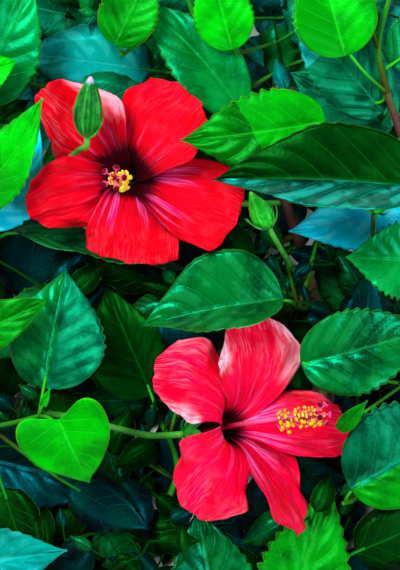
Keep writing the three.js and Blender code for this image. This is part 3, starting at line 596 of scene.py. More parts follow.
def petal_finish(name, dark, light, blush, pale, throat, shadow):
    """Crinkled satin, with wavy lines that fan out from a black-red throat, soft blotches, painted shade near
    the throat and on shaded petals, pale veins with a painted sheen, and a pale rim of painted light.
    """
    satin = Finish(name)
    along, across, streak = satin.value("along"), satin.value("across"), satin.value("streak")
    opened = satin.step(along, throat + 0.05, throat + 0.3)
    warp = satin.times(satin.minus(satin.noise(60.0, 4.0), 0.5), opened)
    bent = satin.plus(across, satin.times(warp, 0.3))

    def fan(scale, detail, wide, long):
        inputs = {0: satin.times(bent, wide), 1: satin.times(along, long), 2: streak}
        return satin.noise(scale, detail, satin.node("ShaderNodeCombineXYZ", inputs))

    lines, broad, cloud = fan(2.4, 5.0, 5.0, 3.0), fan(0.6, 2.0, 8.0, 1.0), satin.noise(60.0, 4.0)
    red = satin.mix(satin.step(cloud, 0.35, 0.6), colour(dark), colour(light))
    red = satin.mix(satin.step(lines, 0.4, 0.75, 0.0, 0.5), red, colour(dark))
    blotch = satin.step(satin.noise(95.0, 4.0), 0.52, 0.75, 0.0, 0.6)
    red = satin.mix(satin.times(blotch, satin.step(along, 0.5, 0.75)), red, colour(blush))
    # Painted shade: the petal darkens outwards from its throat, and all over on a petal that lies in shadow.
    depth = satin.calc("MAXIMUM", satin.step(along, throat, throat + 0.35, shadow, 0.0), satin.value("dusk"))
    red = satin.mix(depth, red, colour("aa000f"))
    fine = fan(1.6, 4.0, 16.0, 4.0)
    # Pale vein lines, partly the petal's own veins and partly a painted sheen on its lighter patches.
    veins = satin.times(satin.step(fine, 0.45, 0.75), satin.value("frost"))
    veins = satin.times(veins, satin.step(cloud, 0.35, 0.6))
    red = satin.mix(satin.times(veins, satin.step(along, 0.5, 0.85, 0.0, 0.6)), red, colour(pale))
    # Painted rim light along the edge, broken by the fanning lines.
    rim = satin.times(satin.value("rim"), satin.step(lines, 0.3, 0.65, 1.1, 0.5))
    red = satin.mix(satin.step(rim, 0.1, 0.95), red, colour(pale))
    flare = satin.step(along, throat + 0.02, throat + 0.3, 1.0, 0.0)
    flare = satin.times(flare, satin.step(broad, 0.5, 0.6))
    magenta = satin.mix(satin.step(fine, 0.45, 0.7), colour("ff1e96"), colour("ffa0dc"))
    red = satin.mix(satin.times(flare, satin.times(streak, 0.8)), red, magenta)
    edge = satin.plus(along, satin.times(satin.minus(lines, 0.5), 0.16))
    edge = satin.plus(edge, satin.times(streak, 0.05))
    return satin.shade(
        Base_Color=satin.mix(satin.step(edge, throat - 0.06, throat + 0.04, 1.0, 0.0), red, colour("2a0006")),
        Roughness=satin.step(cloud, 0.3, 0.7, 0.42, 0.55),
        Specular_IOR_Level=0.4,
        Specular_Tint=(1.0, 0.03, 0.15, 1),
        Normal=satin.bump(satin.plus(lines, fine), 0.0009, 0.6),
    )


def mottled_skin(name, dark, light, scale, shine):
    """Young skin, mottled in two colours, with a faint grain."""
    skin = Finish(name)
    mottle = skin.noise(scale, 3.0)
    grain = skin.noise(900.0, 2.0)
    return skin.shade(
        Base_Color=skin.mix(skin.step(mottle, 0.3, 0.7), colour(dark), colour(light)),
        Roughness=skin.step(grain, 0.3, 0.7, shine, shine + 0.12),
        Normal=skin.bump(grain, 0.0002),
    )


GREEN_GLOSS, PINK_GLOSS = (0.02, 1.0, 0.08, 1), (1.0, 0.3, 0.5, 1)


def plain_skin(name, dark, light, along_from, along_to, shine, gloss=GREEN_GLOSS, grain_size=1500.0):
    """Skin that changes colour from its foot to its end, with a fine grain."""
    skin = Finish(name)
    grain = skin.noise(grain_size, 2.0)
    share = skin.plus(skin.value("along"), skin.times(skin.minus(grain, 0.5), 0.3))
    return skin.shade(
        Base_Color=skin.mix(skin.step(share, along_from, along_to), colour(dark), colour(light)),
        Roughness=skin.step(grain, 0.3, 0.7, shine, shine + 0.15),
        Specular_Tint=gloss,
        Normal=skin.bump(grain, 0.0002),
    )


petal_satins = [
    petal_finish("petal_crimson", "dc000f", "fa0020", "ff283c", "ffa0b4", 0.43, 0.75),
    petal_finish("petal_pink", "f5002d", "ff0046", "ff3c5f", "ffc8dc", 0.34, 0.2),
]
calyx_green = mottled_skin("calyx_green", "0a5a10", "2fb428", 120.0, 0.4)
stalk_green = mottled_skin("stalk_green", "1e6e14", "46b428", 70.0, 0.45)
column_skin = plain_skin("column_skin", "a00024", "ff5f9b", 0.3, 0.6, 0.4, PINK_GLOSS)
anther_yellow = mottled_skin("anther_yellow", "ffa000", "ffdc0f", 900.0, 0.7)
stigma_velvet = plain_skin("stigma_velvet", "ff3c78", "50000a", 0.4, 0.6, 0.8, PINK_GLOSS)

whorl = whorl_growth()
stamens = stamen_growth()


def stalk_under(path, foot, out):
    """A stalk that ends square under the foot it carries."""
    return [*path, foot - out * 7, foot - out * 0.7]


CALYX_PROFILE = np.array([(0.3, 0), (2.6, 0.2), (4.6, 1.6), (6, 4), (7.2, 10), (8.3, 16), (8.1, 17),
                          (7.4, 16.6), (6.4, 11), (5.6, 8.6), (0.3, 8.6)])
LOBE_FOOT, LOBE_RUN, LOBE_RISE, LOBE_DROP, LOBE_FLARE = 8.7, 8, 5.5, 3.5, 1.4


def calyx_part(axes, sides=60):
    """A ribbed cup, by the radius and height of its profile, whose rim rises into five pointed lobes."""
    turns = np.linspace(0, 2 * np.pi, sides, endpoint=False)
    lobes = np.abs(np.cos(2.5 * turns)) ** 0.8
    upward = smooth((CALYX_PROFILE[:, 1] - LOBE_FOOT) / LOBE_RUN)[:, None]
    heights = CALYX_PROFILE[:, 1:] + upward * (LOBE_RISE * lobes - LOBE_DROP)
    radii = CALYX_PROFILE[:, :1] * (1 + 0.03 * np.cos(10 * turns)) + upward * LOBE_FLARE * lobes
    return turned_part(axes, radii, heights, along=np.clip(heights / 20, 0, 1))


STYLES = 5
STIGMA_SIDES = 18
STIGMA = [(0.2, -0.6, 0), (1.0, -0.5, 0), (1.7, 0, 0.1), (1.9, 0.6, 0.2), (1.8, 1.1, 0.45), (1.3, 1.6, 0.8),
          (0.7, 1.8, 1), (0.1, 1.9, 1)]


def column_parts(axes):
    """The column and the five styles at its head, each with a stigma, whose rings are given by their radius,
    height and share of the way to its end."""

    def spot(height, angle=0.0, away=0.0):
        return axes["origin"] + axes["out"] * height + radial(axes, np.array(angle)) * away

    rod = limb_part([spot(FOOT_HEIGHT + 0.5), spot(50, 90, 0.8), spot(COLUMN_LENGTH - 8)], 1.7, 1.0, 16, 1.5)
    parts = [rod]
    radii, heights, share = np.repeat(np.array(STIGMA).T[..., None], STIGMA_SIDES, 2)
    for angle in np.arange(STYLES) * 360.0 / STYLES:
        fork, end = spot(COLUMN_LENGTH - 5, angle, 2.4), spot(COLUMN_LENGTH - 1.5, angle, 5.4)
        parts.append(limb_part([spot(COLUMN_LENGTH - 9), fork, end], 0.5, 0.4, 8, 1.0))
        tip = axis_frame(end, unit(end - fork))
        parts.append(turned_part(tip, radii, heights, along=share) | {"finish": 1})
    return parts


def new_stem(one, sides):
    name = one["name"]
    stem = limb_part(**one["stem"], sides=sides, step=1.5)
    new_piece(f"{name}_stem", [stem], [stalk_green], [f"{name}_stalk"])


for number, bloom in enumerate(blooms):
    name, axes = bloom["name"], bloom["axes"]
    bloom["stem"] = tapering(1.8, 2.2, *stalk_under(bloom["stalk"], axes["origin"], axes["out"]))
    new_stem(bloom, 16)
    new_piece(f"{name}_cup", [calyx_part(axes)], [calyx_green], [f"{name}_calyx"])
    grow(f"{name}_bracts", whorl, axes, "calyx", Count=7, Reach=0.0105, Height=0.0085, Seed=3 + number,
         Material=calyx_green)
    petals = [petal_part(axes, blade) for blade in bloom["petals"]]
    new_piece(f"{name}_petals", petals, [petal_satins[number]], [f"{name}_corolla"], crease=180)
    pillar = column_parts(axes)
    new_piece(f"{name}_pillar", pillar, [column_skin, stigma_velvet], [f"{name}_column"])
    grow(f"{name}_stamens", stamens, axes, "column", Seed=11 + number, Filament_Material=column_skin,
         Anther_Material=anther_yellow, **bloom["stamens"])

# Buds
# Three closed buds, each a ribbed green calyx that narrows to a point where the sepals meet, in a whorl of
# slim curled bracts, on a thin green stalk of its own.

SEAM_DEPTH, RIB_HEIGHT, VEIN_HEIGHT = 0.13, 0.07, 0.03


def bud_part(bud, rings=44, sides=60):
    """Five sepals that swell between their seams, with a rib down the middle of each."""
    axes = bud["axes"]
    run = np.linspace(0, 1, rings)[:, None]
    turns = np.linspace(0, 2 * np.pi, sides, endpoint=False)
    knots, sizes = zip(*bud["profile"])
    size = np.interp(run, knots, sizes)
    size = (size + sum(np.interp(np.clip(run + shift, 0, 1), knots, sizes) for shift in (-0.03, 0.03))) / 3
    seam = np.abs(np.sin(2.5 * turns)) ** 0.35
    rib = np.exp(-((np.abs(np.sin(2.5 * turns)) - 1) / 0.03) ** 2)
    spread = smooth(run / 0.1)
    relief = SEAM_DEPTH * (seam - 1) + RIB_HEIGHT * rib + VEIN_HEIGHT * np.sin(15 * turns)
    radii = bud["radius"] * size * (1 + spread * relief)
    veins = np.maximum(rib, 0.5 * smooth((np.sin(15 * turns) - 0.7) / 0.3)) * spread
    return turned_part(axes, radii, bud["length"] * run + 0 * turns, along=run + 0 * turns, rib=veins)


def bud(name, base, tip, radius, stalk, bracts, profile):
    foot, point = np.array(base, float), np.array(tip, float)
    axes = axis_frame(foot, point - foot)
    stem = tapering(1.4, 1.8, *stalk_under(stalk, foot, axes["out"]))
    return {"name": name, "base": base, "tip": tip, "radius": radius, "length": np.linalg.norm(point - foot),
            "axes": axes, "stem": stem, "bracts": bracts, "profile": profile}


PLUMP = [(0, 0.3), (0.08, 0.7), (0.25, 0.98), (0.45, 1.0), (0.65, 0.84), (0.82, 0.56), (0.94, 0.26), (1, 0.1)]
POINTED = [(0, 0.35), (0.1, 0.8), (0.25, 0.98), (0.45, 0.9), (0.65, 0.68), (0.85, 0.35), (1, 0.08)]

buds = [
    bud("bud_upper", [-64, 335, 82], [-61, 366, 98], 8,
        [[-137, 262, 4], [-130, 294, 26], [-102, 308, 42], [-80, 321, 56], [-69, 328, 68]],
        {"Count": 7, "Reach": 0.0085, "Height": 0.015, "Thickness": 0.001}, PLUMP),
    bud("bud_middle", [40, 284, 53], [29, 304, 62], 7, [[63, 262, 10], [57, 259, 22], [50, 268, 38]],
        {"Count": 7, "Reach": 0.0095, "Height": 0.010, "Thickness": 0.0011}, POINTED),
    bud("bud_right", [102, 293, 60], [104, 305, 72], 5.5,
        [[141, 236, 5], [132, 243, 28], [110, 257, 44], [102, 276, 51]],
        {"Count": 7, "Reach": 0.0085, "Height": 0.007, "Thickness": 0.001}, POINTED),
]


def sepal_finish(name, dark, light, tip):
    """Green sepals, lighter along their ribs, whose tips pale where the petals are about to show."""
    sepals = Finish(name)
    mottle, grain = sepals.noise(160.0, 3.0), sepals.noise(700.0, 2.0)
    green = sepals.mix(sepals.step(mottle, 0.35, 0.65), colour(dark), colour(light))
    green = sepals.mix(sepals.times(sepals.value("rib"), 0.35), green, colour("46c837"))
    end = sepals.plus(sepals.value("along"), sepals.times(mottle, 0.06))
    return sepals.shade(
        Base_Color=sepals.mix(sepals.step(end, 0.92, 1.0), green, colour(tip)),
        Roughness=sepals.step(grain, 0.3, 0.7, 0.35, 0.5),
        Specular_Tint=(0.2, 1.0, 0.5, 1),
        Normal=sepals.bump(grain, 0.0003),
    )


dark_sepals = sepal_finish("dark_sepals", "003c0c", "0a7d19", "b9afe1")
bright_sepals = sepal_finish("bright_sepals", "009b14", "28d728", "5adc3c")
for number, (one, skin) in enumerate(zip(buds, [dark_sepals, bright_sepals, bright_sepals])):
    name = one["name"]
    new_stem(one, 14)
    new_piece(f"{name}_sepals", [bud_part(one)], [skin], [name])
    grow(f"{name}_bracts", whorl, one["axes"], "calyx", Ring=0.25 * one["radius"] * MM, Seed=21 + number,
         Material=calyx_green, **one["bracts"])

# Leaves and twigs
# The leaves are thin, glossy, toothed ovals on long stalks, along soft green twigs. The large ones are placed
# one by one, and the rest grow on side twigs by a seeded rule, wherever there is room for them.

FLOOR = -CUT_RADIUS
FLOOR_GAP = 1
PETIOLE_RADII = (1.1, 0.8)
PETIOLE_LAP = 7
PETIOLE_BARE = 8
SPOT_STEP = 5
SPOT_MARGIN = 1
LEAF_REACH, LEAF_RISE = 4.5, 2.0
CROWN = {"half_width": 172, "near": 16, "far": 446}

# A spray has the ranges of its lengths and turns, the radii and bow of its twig, the places of its side
# leaves, the room kept round a leaf, the bare foot of its twig, its lowest height and how often it is tried.
SPRAY = {"twig": (18, 52), "radii": (1.4, 1.0), "bow": 2, "turn": (35, 105), "tip_turn": (-12, 12),
         "side_turn": (50, 75), "side_leaves": [(0.55, 1), (0.75, -1)], "leaf": (54, 84), "stalk": (7, 16),
         "reach": LEAF_REACH, "rise": LEAF_RISE, "bare": 16, "lowest": -3, "tries": 70}
GROWN_LEAF = {"droop": (0, 8), "floor_gap": 1.5, "width": (0.58, 0.68), "roll": (-10, 10), "fold": (6, 14)}


class Chance:
    """Seeded numbers, the same on every run."""

    def __init__(self, seed):
        self.state = seed

    def __call__(self, least=0.0, most=1.0):
        self.state = self.state * 16807 % 2147483647
        return least + (most - least) * (self.state / 2147483647)


def leaf(base, tip, width, tone="deep", **shape):
    return {"base": base, "tip": tip, "width": width, "tone": tone, **shape}


def leaf_frame(blade):
    base, tip = np.array(blade["base"], float), np.array(blade["tip"], float)
    length = np.linalg.norm(tip - base)
    along = (tip - base) / length
    level = unit(np.array([0, 0, 1]) - along * along[2])
    beside = np.cross(along, level)
    roll = math.radians(blade.get("roll", 0))
    up = level * math.cos(roll) + beside * math.sin(roll)
    across = beside * math.cos(roll) - level * math.sin(roll)
    return base, along, across, up, length


def leaf_places(blade, s, v, tooth=0.0, relief=0.0):
    """Places on a blade, s from its foot to its tip and v from one edge to the other."""
    base, along, across, up, length = leaf_frame(blade)
    outline = np.maximum(np.sin(np.pi * s ** blade.get("peak", 0.7)), 0)
    outline = outline ** (0.6 + blade.get("pointed", 0.5) * s)
    half = np.maximum(blade["width"] / 2 * outline * (1 + blade.get("side", 0) * np.sign(v)), 0.7)
    hump = 4 * s * (1 - s)
    run = s - blade.get("lobe", 0) * np.abs(v) ** 1.5 * (1 - s) ** 3 * np.minimum(1, outline)
    fold = math.radians(blade.get("fold", 14))
    rise = length * blade.get("arch", 0.06) * hump + np.abs(v) * half * math.sin(fold) + relief
    aside = length * blade.get("sway", 0) * hump + v * half * math.cos(fold) * (1 + tooth)
    return base + (length * run)[..., None] * along + rise[..., None] * up + aside[..., None] * across


SPOT_PLACES = np.meshgrid((np.arange(11) / 10) ** 1.25, np.arange(7) / 3 - 1, indexing="ij")
PETAL_SPOT_PLACES = np.meshgrid(np.arange(11) / 10, np.arange(7) / 3 - 1, indexing="ij")


def blade_spots(places, reach=LEAF_REACH, rise=LEAF_RISE):
    spots = places.reshape(-1, 3)
    return spots, np.full(len(spots), reach), np.full(len(spots), rise)


def limb_spots(limb, skipped=0):
    run = along_path(limb["path"], np.arange(201) / 200)
    count = max(2, math.ceil(run_length(run) / SPOT_STEP))
    kept = np.arange(count + 1) * SPOT_STEP >= skipped
    size = SPOT_MARGIN + limb["radius"] + (limb["tip_radius"] - limb["radius"]) * np.arange(count + 1) / count
    return along_path(limb["path"], np.arange(count + 1) / count)[kept], size[kept], size[kept]


def both(some, others):
    return tuple(np.concatenate(pair) for pair in zip(some, others))


def touches(some, others):
    """Whether any two spots are nearer than their reach sideways and their rise up and down."""
    apart = some[0][:, None] - others[0][None]
    flat = np.hypot(apart[..., 0], apart[..., 1]) < some[1][:, None] + others[1][None]
    high = np.abs(apart[..., 2]) < some[2][:, None] + others[2][None]
    return bool((flat & high).any())


def within_crown(places, floor_gap):
    """Whether all the places lie inside the box of the crown, and clear of the floor."""
    x, y, z = places.reshape(-1, 3).T
    inside = (np.abs(x) < CROWN["half_width"]) & (y > CROWN["near"]) & (y < CROWN["far"])
    return bool(np.all(inside & (z > FLOOR + floor_gap)))


class Room:
    """What is already there, as groups of spots, each group in its box."""

    def __init__(self):
        self.groups = []
        self.lows, self.highs = [], []

    def keep(self, spots):
        self.groups.append(spots)
        self.lows.append(spots[0].min(0) - LEAF_REACH)
        self.highs.append(spots[0].max(0) + LEAF_REACH)

    def fits(self, spots):
        places = spots[0]
        if not within_crown(places, FLOOR_GAP):
            return False
        low, high = places.min(0) - LEAF_REACH, places.max(0) + LEAF_REACH
        near = np.all((np.array(self.highs) >= low) & (np.array(self.lows) <= high), axis=1)
        return not any(touches(spots, self.groups[i]) for i in np.flatnonzero(near))


def petiole(blade, root):
    """The stalk of a leaf, from its twig to a little way in under the blade."""
    base, *_, length = leaf_frame(blade)
    end = leaf_places(blade, np.array(PETIOLE_LAP / length), np.array(0.0))
    middle = root + (base - root) * 0.55
    middle[2] += 0.08 * np.linalg.norm(root - end)
    return tapering(*PETIOLE_RADII, root, middle, end)


def nearest_on_twigs(twigs, target):
    places = np.concatenate([along_path(stem["path"], np.arange(2, 23) / 24) for stem in twigs])
    return places[np.argmin(np.linalg.norm(places - np.array(target), axis=1))]


def spray_leaf(start, heading, kind, chance):
    ahead = np.array([math.cos(heading), math.sin(heading)])
    reach = chance(*kind["stalk"])
    length = chance(*kind["leaf"])
    droop = chance(*GROWN_LEAF["droop"])
    base = np.array([*(start[:2] + reach * ahead), start[2] + 1])
    tip = np.array([*(base[:2] + length * ahead), max(base[2] - droop, FLOOR + GROWN_LEAF["floor_gap"])])
    width = length * chance(*GROWN_LEAF["width"])
    roll, fold = chance(*GROWN_LEAF["roll"]), chance(*GROWN_LEAF["fold"])
    return {"leaf": leaf(base, tip, width, roll=roll, fold=fold), "root": start}


def spots_of(one, kind):
    one["stalk"] = petiole(one["leaf"], one["root"])
    places = leaf_places(one["leaf"], *SPOT_PLACES)
    return both(blade_spots(places, kind["reach"], kind["rise"]), limb_spots(one["stalk"], PETIOLE_BARE))


def bowed_twig(root, end, kind):
    return tapering(*kind["radii"], root, (root + end) / 2 + np.array([0, 0, kind["bow"]]), end)


def spray_of(carrier, number, count, levels, kind, chance):
    """One spray: a side twig with a leaf at its tip and one on either side."""
    share = 0.15 + 0.8 * (number + chance()) / count
    root = along_path(carrier["path"], share)
    behind, ahead = along_path(carrier["path"], np.array([share - 1e-4, share + 1e-4]))
    turn = (1 if number % 2 else -1) * math.radians(chance(*kind["turn"]))
    heading = math.atan2(ahead[1] - behind[1], ahead[0] - behind[0]) + turn
    reach = chance(*kind["twig"])
    end = root + reach * np.array([math.cos(heading), math.sin(heading), 0])
    end[2] = chance(*levels)
    stem = bowed_twig(root, end, kind)
    leaves = [spray_leaf(end, heading + math.radians(chance(*kind["tip_turn"])), kind, chance)]
    for share, side in kind["side_leaves"]:
        start = along_path(stem["path"], share)
        turn = side * math.radians(chance(*kind["side_turn"]))
        leaves.append(spray_leaf(start, heading + turn, kind, chance))
    return stem, leaves


def grow_sprays(carriers, count, levels, kind, chance):
    """A spray grows only where its twig and end leaf have room, and drops a side leaf that has none."""
    stems, grown = [], []
    for number in range(count):
        for _ in range(kind["tries"]):
            stem, leaves = spray_of(carriers[number % len(carriers)], number, count, levels, kind, chance)
            stem_spots = limb_spots(stem, kind["bare"])
            if not (room.fits(stem_spots) and room.fits(spots_of(leaves[0], kind))):
                continue
            fitting = []
            for one in leaves:
                spots = spots_of(one, kind)
                if not any(touches(other, spots) for other in fitting) and room.fits(spots):
                    fitting.append(spots)
                    grown.append(one)
            for spots in [stem_spots, *fitting]:
                room.keep(spots)
            stems.append(stem)
            break
    return stems, grown


room = Room()
for bloom in blooms:
    for blade in bloom["petals"]:
        room.keep(blade_spots(petal_places(bloom["axes"], blade, *PETAL_SPOT_PLACES)[0]))
    room.keep(limb_spots(bloom["stem"]))
for limb in limbs.values():
    room.keep(limb_spots(limb))
for one in buds:
    room.keep(limb_spots(one["stem"]))
    room.keep(limb_spots(tapering(one["radius"], one["radius"], one["base"], one["tip"])))


def foliage(name, seed, sprays, top, twigs, leaves):
    """A mass of foliage: its seed, how many sprays it may grow and how high they reach, and its twigs and
    large leaves."""
    levels = (SPRAY["lowest"], top)
    return {"name": name, "seed": seed, "sprays": sprays, "levels": levels, "twigs": twigs, "leaves": leaves}


inner_twig = tapering(2, 1.2, [-116, 180, -1], [-128, 166, 22], [-113, 168, 41], [-88.3, 175, 47])

masses = [
    foliage("foliage_top", seed=11, sprays=8, top=30, twigs=[
        tapering(2.6, 1.5, [30, 354, 24], [16, 377, 30], [3, 395, 37], [-9, 424, 40]),
        tapering(2, 1.3, [22, 366, 27], [26, 376, 35], [19, 391, 42], [15, 412, 45]),
        tapering(1.8, 1.2, [-4, 410, 38], [-28, 400, 30], [-48, 386, 32]),
    ], leaves=[
        leaf([-50, 391, 46], [-28, 437, 50], 36, "meadow"),
        leaf([25, 352, 34], [-38, 419, 30], 42, "green", sway=0.05),
        leaf([19, 388, 48], [5, 438, 50], 36, "fresh"),
    ]),
    foliage("foliage_top_left", seed=23, sprays=8, top=28, twigs=[
        tapering(2.2, 1.4, [-138, 306, 13], [-132, 343, 24], [-118, 376, 33], [-98, 405, 36]),
    ], leaves=[
        leaf([-134, 359, 44], [-97, 428, 56], 54, "green", roll=8),
        leaf([-139, 364, 60], [-106, 379, 68], 26, "fresh", pointed=0.2),
        leaf([-148, 330, 30], [-101, 360, 38], 40, "dark"),
    ]),
    foliage("foliage_left", seed=37, sprays=9, top=26, twigs=[
        tapering(2.2, 1.4, [-134, 240, 1], [-147, 254, 20], [-152, 276, 40]),
        tapering(1.8, 1.3, [-144, 250, 16], [-134, 270, 24], [-118, 280, 28]),
    ], leaves=[
        leaf([-138, 294, 58], [-89, 356, 84], 37, "fresh", roll=-12, sway=0.08, fold=10),
        # Painted sky sheen: this blade is sky blue.
        leaf([-147, 290, 40], [-94, 347, 52], 46, "sky", roll=10, sway=0.15),
        leaf([-111, 283, 28], [-11, 262, 24], 36, "deep", roll=-74, arch=0, sway=0.02,
             drawn={"tip": [-8, 259, 18], "roll": -62}),
        leaf([-152, 211, 52], [-89, 241, 62], 30, "meadow", fold=6, pointed=0.1, teeth=0.03, pucker=0.4),
    ]),
    foliage("foliage_inner_left", seed=41, sprays=18, top=24, twigs=[
        inner_twig,
        tapering(2, 1.2, [-124, 200, -1.4], [-100, 206, 2], [-76, 214, 3]),
    ], leaves=[
        # Painted sheen: one half of this blade is teal.
        leaf([-92, 189, 44], [-80, 260, 34], 58, "deep", roll=-6, fold=10, arch=0.05, side=0.16, teeth=0.07,
             second=("teal", 0, 1, 0)),
        leaf([-81, 173, 70], [-65, 134, 48], 58, "fresh", lobe=0.42, fold=6, roll=4, peak=0.5, teeth=0.02,
             pucker=0.5, drawn={"width": 54, "lobe": 0.35}),
        leaf([-92, 179, 52], [-87, 190, 60], 6, "fresh", fold=30),
    ]),
    foliage("foliage_low_left", seed=53, sprays=10, top=30, twigs=[
        tapering(2.2, 1.3, [-84, 127, -1.6], [-112, 112, 8], [-146, 102, 20]),
    ], leaves=[
        leaf([-141, 148, 6], [-50, 126, 10], 50, "shade", tint=0.1),
        # Painted sky sheen: this blade is lagoon blue.
        leaf([-158, 83, 34], [-78, 94, 46], 46, "lagoon"),
    ]),
    foliage("foliage_low_centre", seed=67, sprays=18, top=16, twigs=[
        tapering(2.6, 1.4, [14, 52, 1], [-22, 97, 5], [-14, 140, 8], [-29, 177, 10]),
    ], leaves=[
        leaf([-29, 183, 12], [-58, 250, 10], 50, "dark", side=-0.2, teeth=0.05, tint=0.9),
        leaf([15, 30, 8], [-2, 116, 14], 58, "deep"),
    ]),
    foliage("foliage_bottom_right", seed=71, sprays=16, top=24, twigs=[
        tapering(2.4, 1.4, [30, 77, 3], [46, 66, 10], [54, 50, 20]),
    ], leaves=[
        leaf([50, 36, 20], [79, 129, 14], 56, "meadow", fold=8, arch=0.03, teeth=0.18),
    ]),
    foliage("foliage_low_right", seed=83, sprays=10, top=20, twigs=[
        tapering(2.2, 1.3, [98, 136, -1.4], [94, 121, 12], [86, 119, 26]),
    ], leaves=[
        # Painted sheen: one half of this blade is teal, the other green.
        leaf([89, 129, 34], [163, 174, 26], 66, "teal", roll=6, fold=16, side=-0.16,
             second=("meadow", 0, 1, 0)),
    ]),
    foliage("foliage_centre", seed=97, sprays=18, top=24, twigs=[
        tapering(2.2, 1.4, [71, 242, 9], [62, 236, 22], [54, 240, 36]),
        tapering(1.8, 1.3, [66, 239, 15], [30, 226, 8], [-10, 222, 4]),
    ], leaves=[
        leaf([49, 242, 48], [-34, 226, 44], 68, "deep", roll=32, fold=36, arch=0.04, teeth=0.05),
    ]),
    foliage("foliage_right", seed=103, sprays=12, top=26, twigs=[
        tapering(2.2, 1.4, [126, 176, -1.4], [136, 187, 20], [118, 192, 36]),
        tapering(1.8, 1.3, [134, 184, 16], [146, 214, 30], [140, 244, 42]),
    ], leaves=[
        leaf([53, 203, 50], [138, 225, 46], 52, "deep", roll=6, drawn={"base": [59, 204, 50]}),
        leaf([134, 263, 60], [84, 266, 66], 46, "green", teeth=0.2),
        leaf([81, 165, 50], [97, 183, 60], 12, "meadow", fold=30),
    ]),
    foliage("foliage_upper_right", seed=109, sprays=16, top=20, twigs=[
        tapering(2, 1.4, [135, 288, 22], [136, 300, 46], [130, 318, 72], [112, 332, 84]),
    ], leaves=[
        # Painted shade on the outer part of this blade.
        leaf([71, 343, 84], [-11, 332, 84], 48, "fresh", fold=4, sway=-0.02, side=-0.05,
             teeth=0.17, tint=0.3, second=("meadow", 1, -0.1, 0.5)),
        # Painted sheen on one half of this blade, against its dark other half.
        leaf([124, 305, 96], [7, 309, 90], 64, "dark", roll=24, fold=32, arch=0.05, teeth=0.05,
             second=("glossy", 0, -1, 0)),
        # Painted sky sheen: this blade is sky blue.
        leaf([134, 296, 36], [53, 282, 28], 42, "sky"),
    ]),
    foliage("foliage_top_right", seed=127, sprays=9, top=20, twigs=[
        tapering(2.2, 1.4, [109, 362, 55], [103, 388, 66], [110, 420, 70]),
        tapering(1.6, 1.1, [103, 386, 65.5], [96, 404, 74], [94, 418, 78]),
    ], leaves=[
        leaf([83, 381, 72], [67, 439, 70], 50, "fresh", tint=0.2, pucker=0.6, joint=[109, 362, 55]),
        # Painted sheen: a lagoon strip towards the tip of this teal blade.
        leaf([108, 352, 44], [53, 412, 50], 46, "teal", second=("lagoon", 1, 0, 0.6)),
        leaf([112, 378, 56], [146, 405, 58], 40, "deep"),
        leaf([115, 344, 26], [54, 377, 30], 56, "teal"),
    ]),
    foliage("foliage_behind", seed=131, sprays=20, top=14, twigs=[
        tapering(2.4, 1.3, [59, 280, 12], [20, 270, 2], [-30, 280, 0], [-80, 300, 0]),
    ], leaves=[]),
]

for mass in masses:
    mass["large"] = [{"leaf": one, "stalk": petiole(one, nearest_on_twigs(mass["twigs"], one["base"]))}
                     for one in mass["leaves"]]
    for stem in mass["twigs"]:
        room.keep(limb_spots(stem))
    for one in mass["large"]:
        room.keep(both(blade_spots(leaf_places(one["leaf"], *SPOT_PLACES)), limb_spots(one["stalk"])))

for mass in masses:
    chance = Chance(mass["seed"])
    mass["stems"], mass["grown"] = grow_sprays(mass["twigs"], mass["sprays"], mass["levels"], SPRAY, chance)

# The finer twigs grow from the twig nearest to each bare place, so that little of the floor shows from above
# the middle of the branch. They keep to the cells of the crown that nothing fills yet.

CELL = np.array([3.0, 3.0, 1.2])
CORNER = np.array([-CROWN["half_width"] - 4, CROWN["near"] - 4, FLOOR - 0.4])
LOOKED_FROM = np.array([0.0, 250.0, 1060.0])
SPRIG = {"twig": (4, 60), "radii": (0.9, 0.6), "bow": 1, "turn": (-70, 70), "back": (0.3, 0.7), "lead": 6,
         "stalk": (3, 10), "bare": 7, "floor_gap": 0.5, "tries": 60}
SPRIG_STALK = {"radius": 0.7, "tip_radius": 0.4}
ROD_STEP = 1.5
BLADE_PLACES, SPRIG_PLACES = blade_grid(60, 32), blade_grid(17, 10)
CORNERS = np.array([[x, y, z] for x in (-1, 0, 1) for y in (-1, 0, 1) for z in (-1, 0, 1)])
CELLS = (120, 150, 60)

filled = np.zeros(CELLS, bool)
shaded = np.zeros(CELLS[:2], bool)


def cells_at(places):
    cells = np.floor((places.reshape(-1, 3) - CORNER) / CELL).astype(int)
    return tuple(np.clip(cells, 0, np.array(CELLS) - 1).T)


def fill_blade(places):
    """Takes up the cells of a blade, and the bare floor that its inner part hides from above."""
    away = places[2:-2, 1:-1] - LOOKED_FROM
    shaded[cells_at(LOOKED_FROM + away * (FLOOR - LOOKED_FROM[2]) / away[..., 2:])[:2]] = True
    for rise in (-CELL[2], 0, CELL[2]):
        filled[cells_at(places + np.array([0, 0, rise]))] = True


def rod_places(limb, skipped=0.0):
    path = np.array(limb["path"], float)
    length = run_length(path)
    run = np.linspace(0, 1, int(length / ROD_STEP) + 2)
    places = along_path(path, run[run * length >= skipped])
    return places[:, None] + CORNERS[None] * limb["tip_radius"]


def sprig_over(target, root, lengths, levels, chance):
    """A finer twig from root, with one leaf at its tip whose middle lies near target."""
    length = chance(*lengths)
    away = target - root[:2]
    turn = math.atan2(away[1], away[0]) + math.radians(chance(*SPRIG["turn"]))
    back = (chance(*SPRIG["back"]) * length + SPRIG["lead"]) * np.array([math.cos(turn), math.sin(turn)])
    end = np.array([*(target - back), chance(*levels)])
    return bowed_twig(root, end, SPRIG), spray_leaf(end, turn, SPRIG | {"leaf": (length, length)}, chance)


def has_room(stem, one):
    reach = np.linalg.norm(stem["path"][2] - stem["path"][0])
    if not SPRIG["twig"][0] < reach < SPRIG["twig"][1]:
        return False
    places = leaf_places(one["leaf"], *SPRIG_PLACES)
    if not within_crown(places, SPRIG["floor_gap"]) or filled[cells_at(places)].any():
        return False
    return not filled[cells_at(rod_places(stem, SPRIG["bare"]))].any()


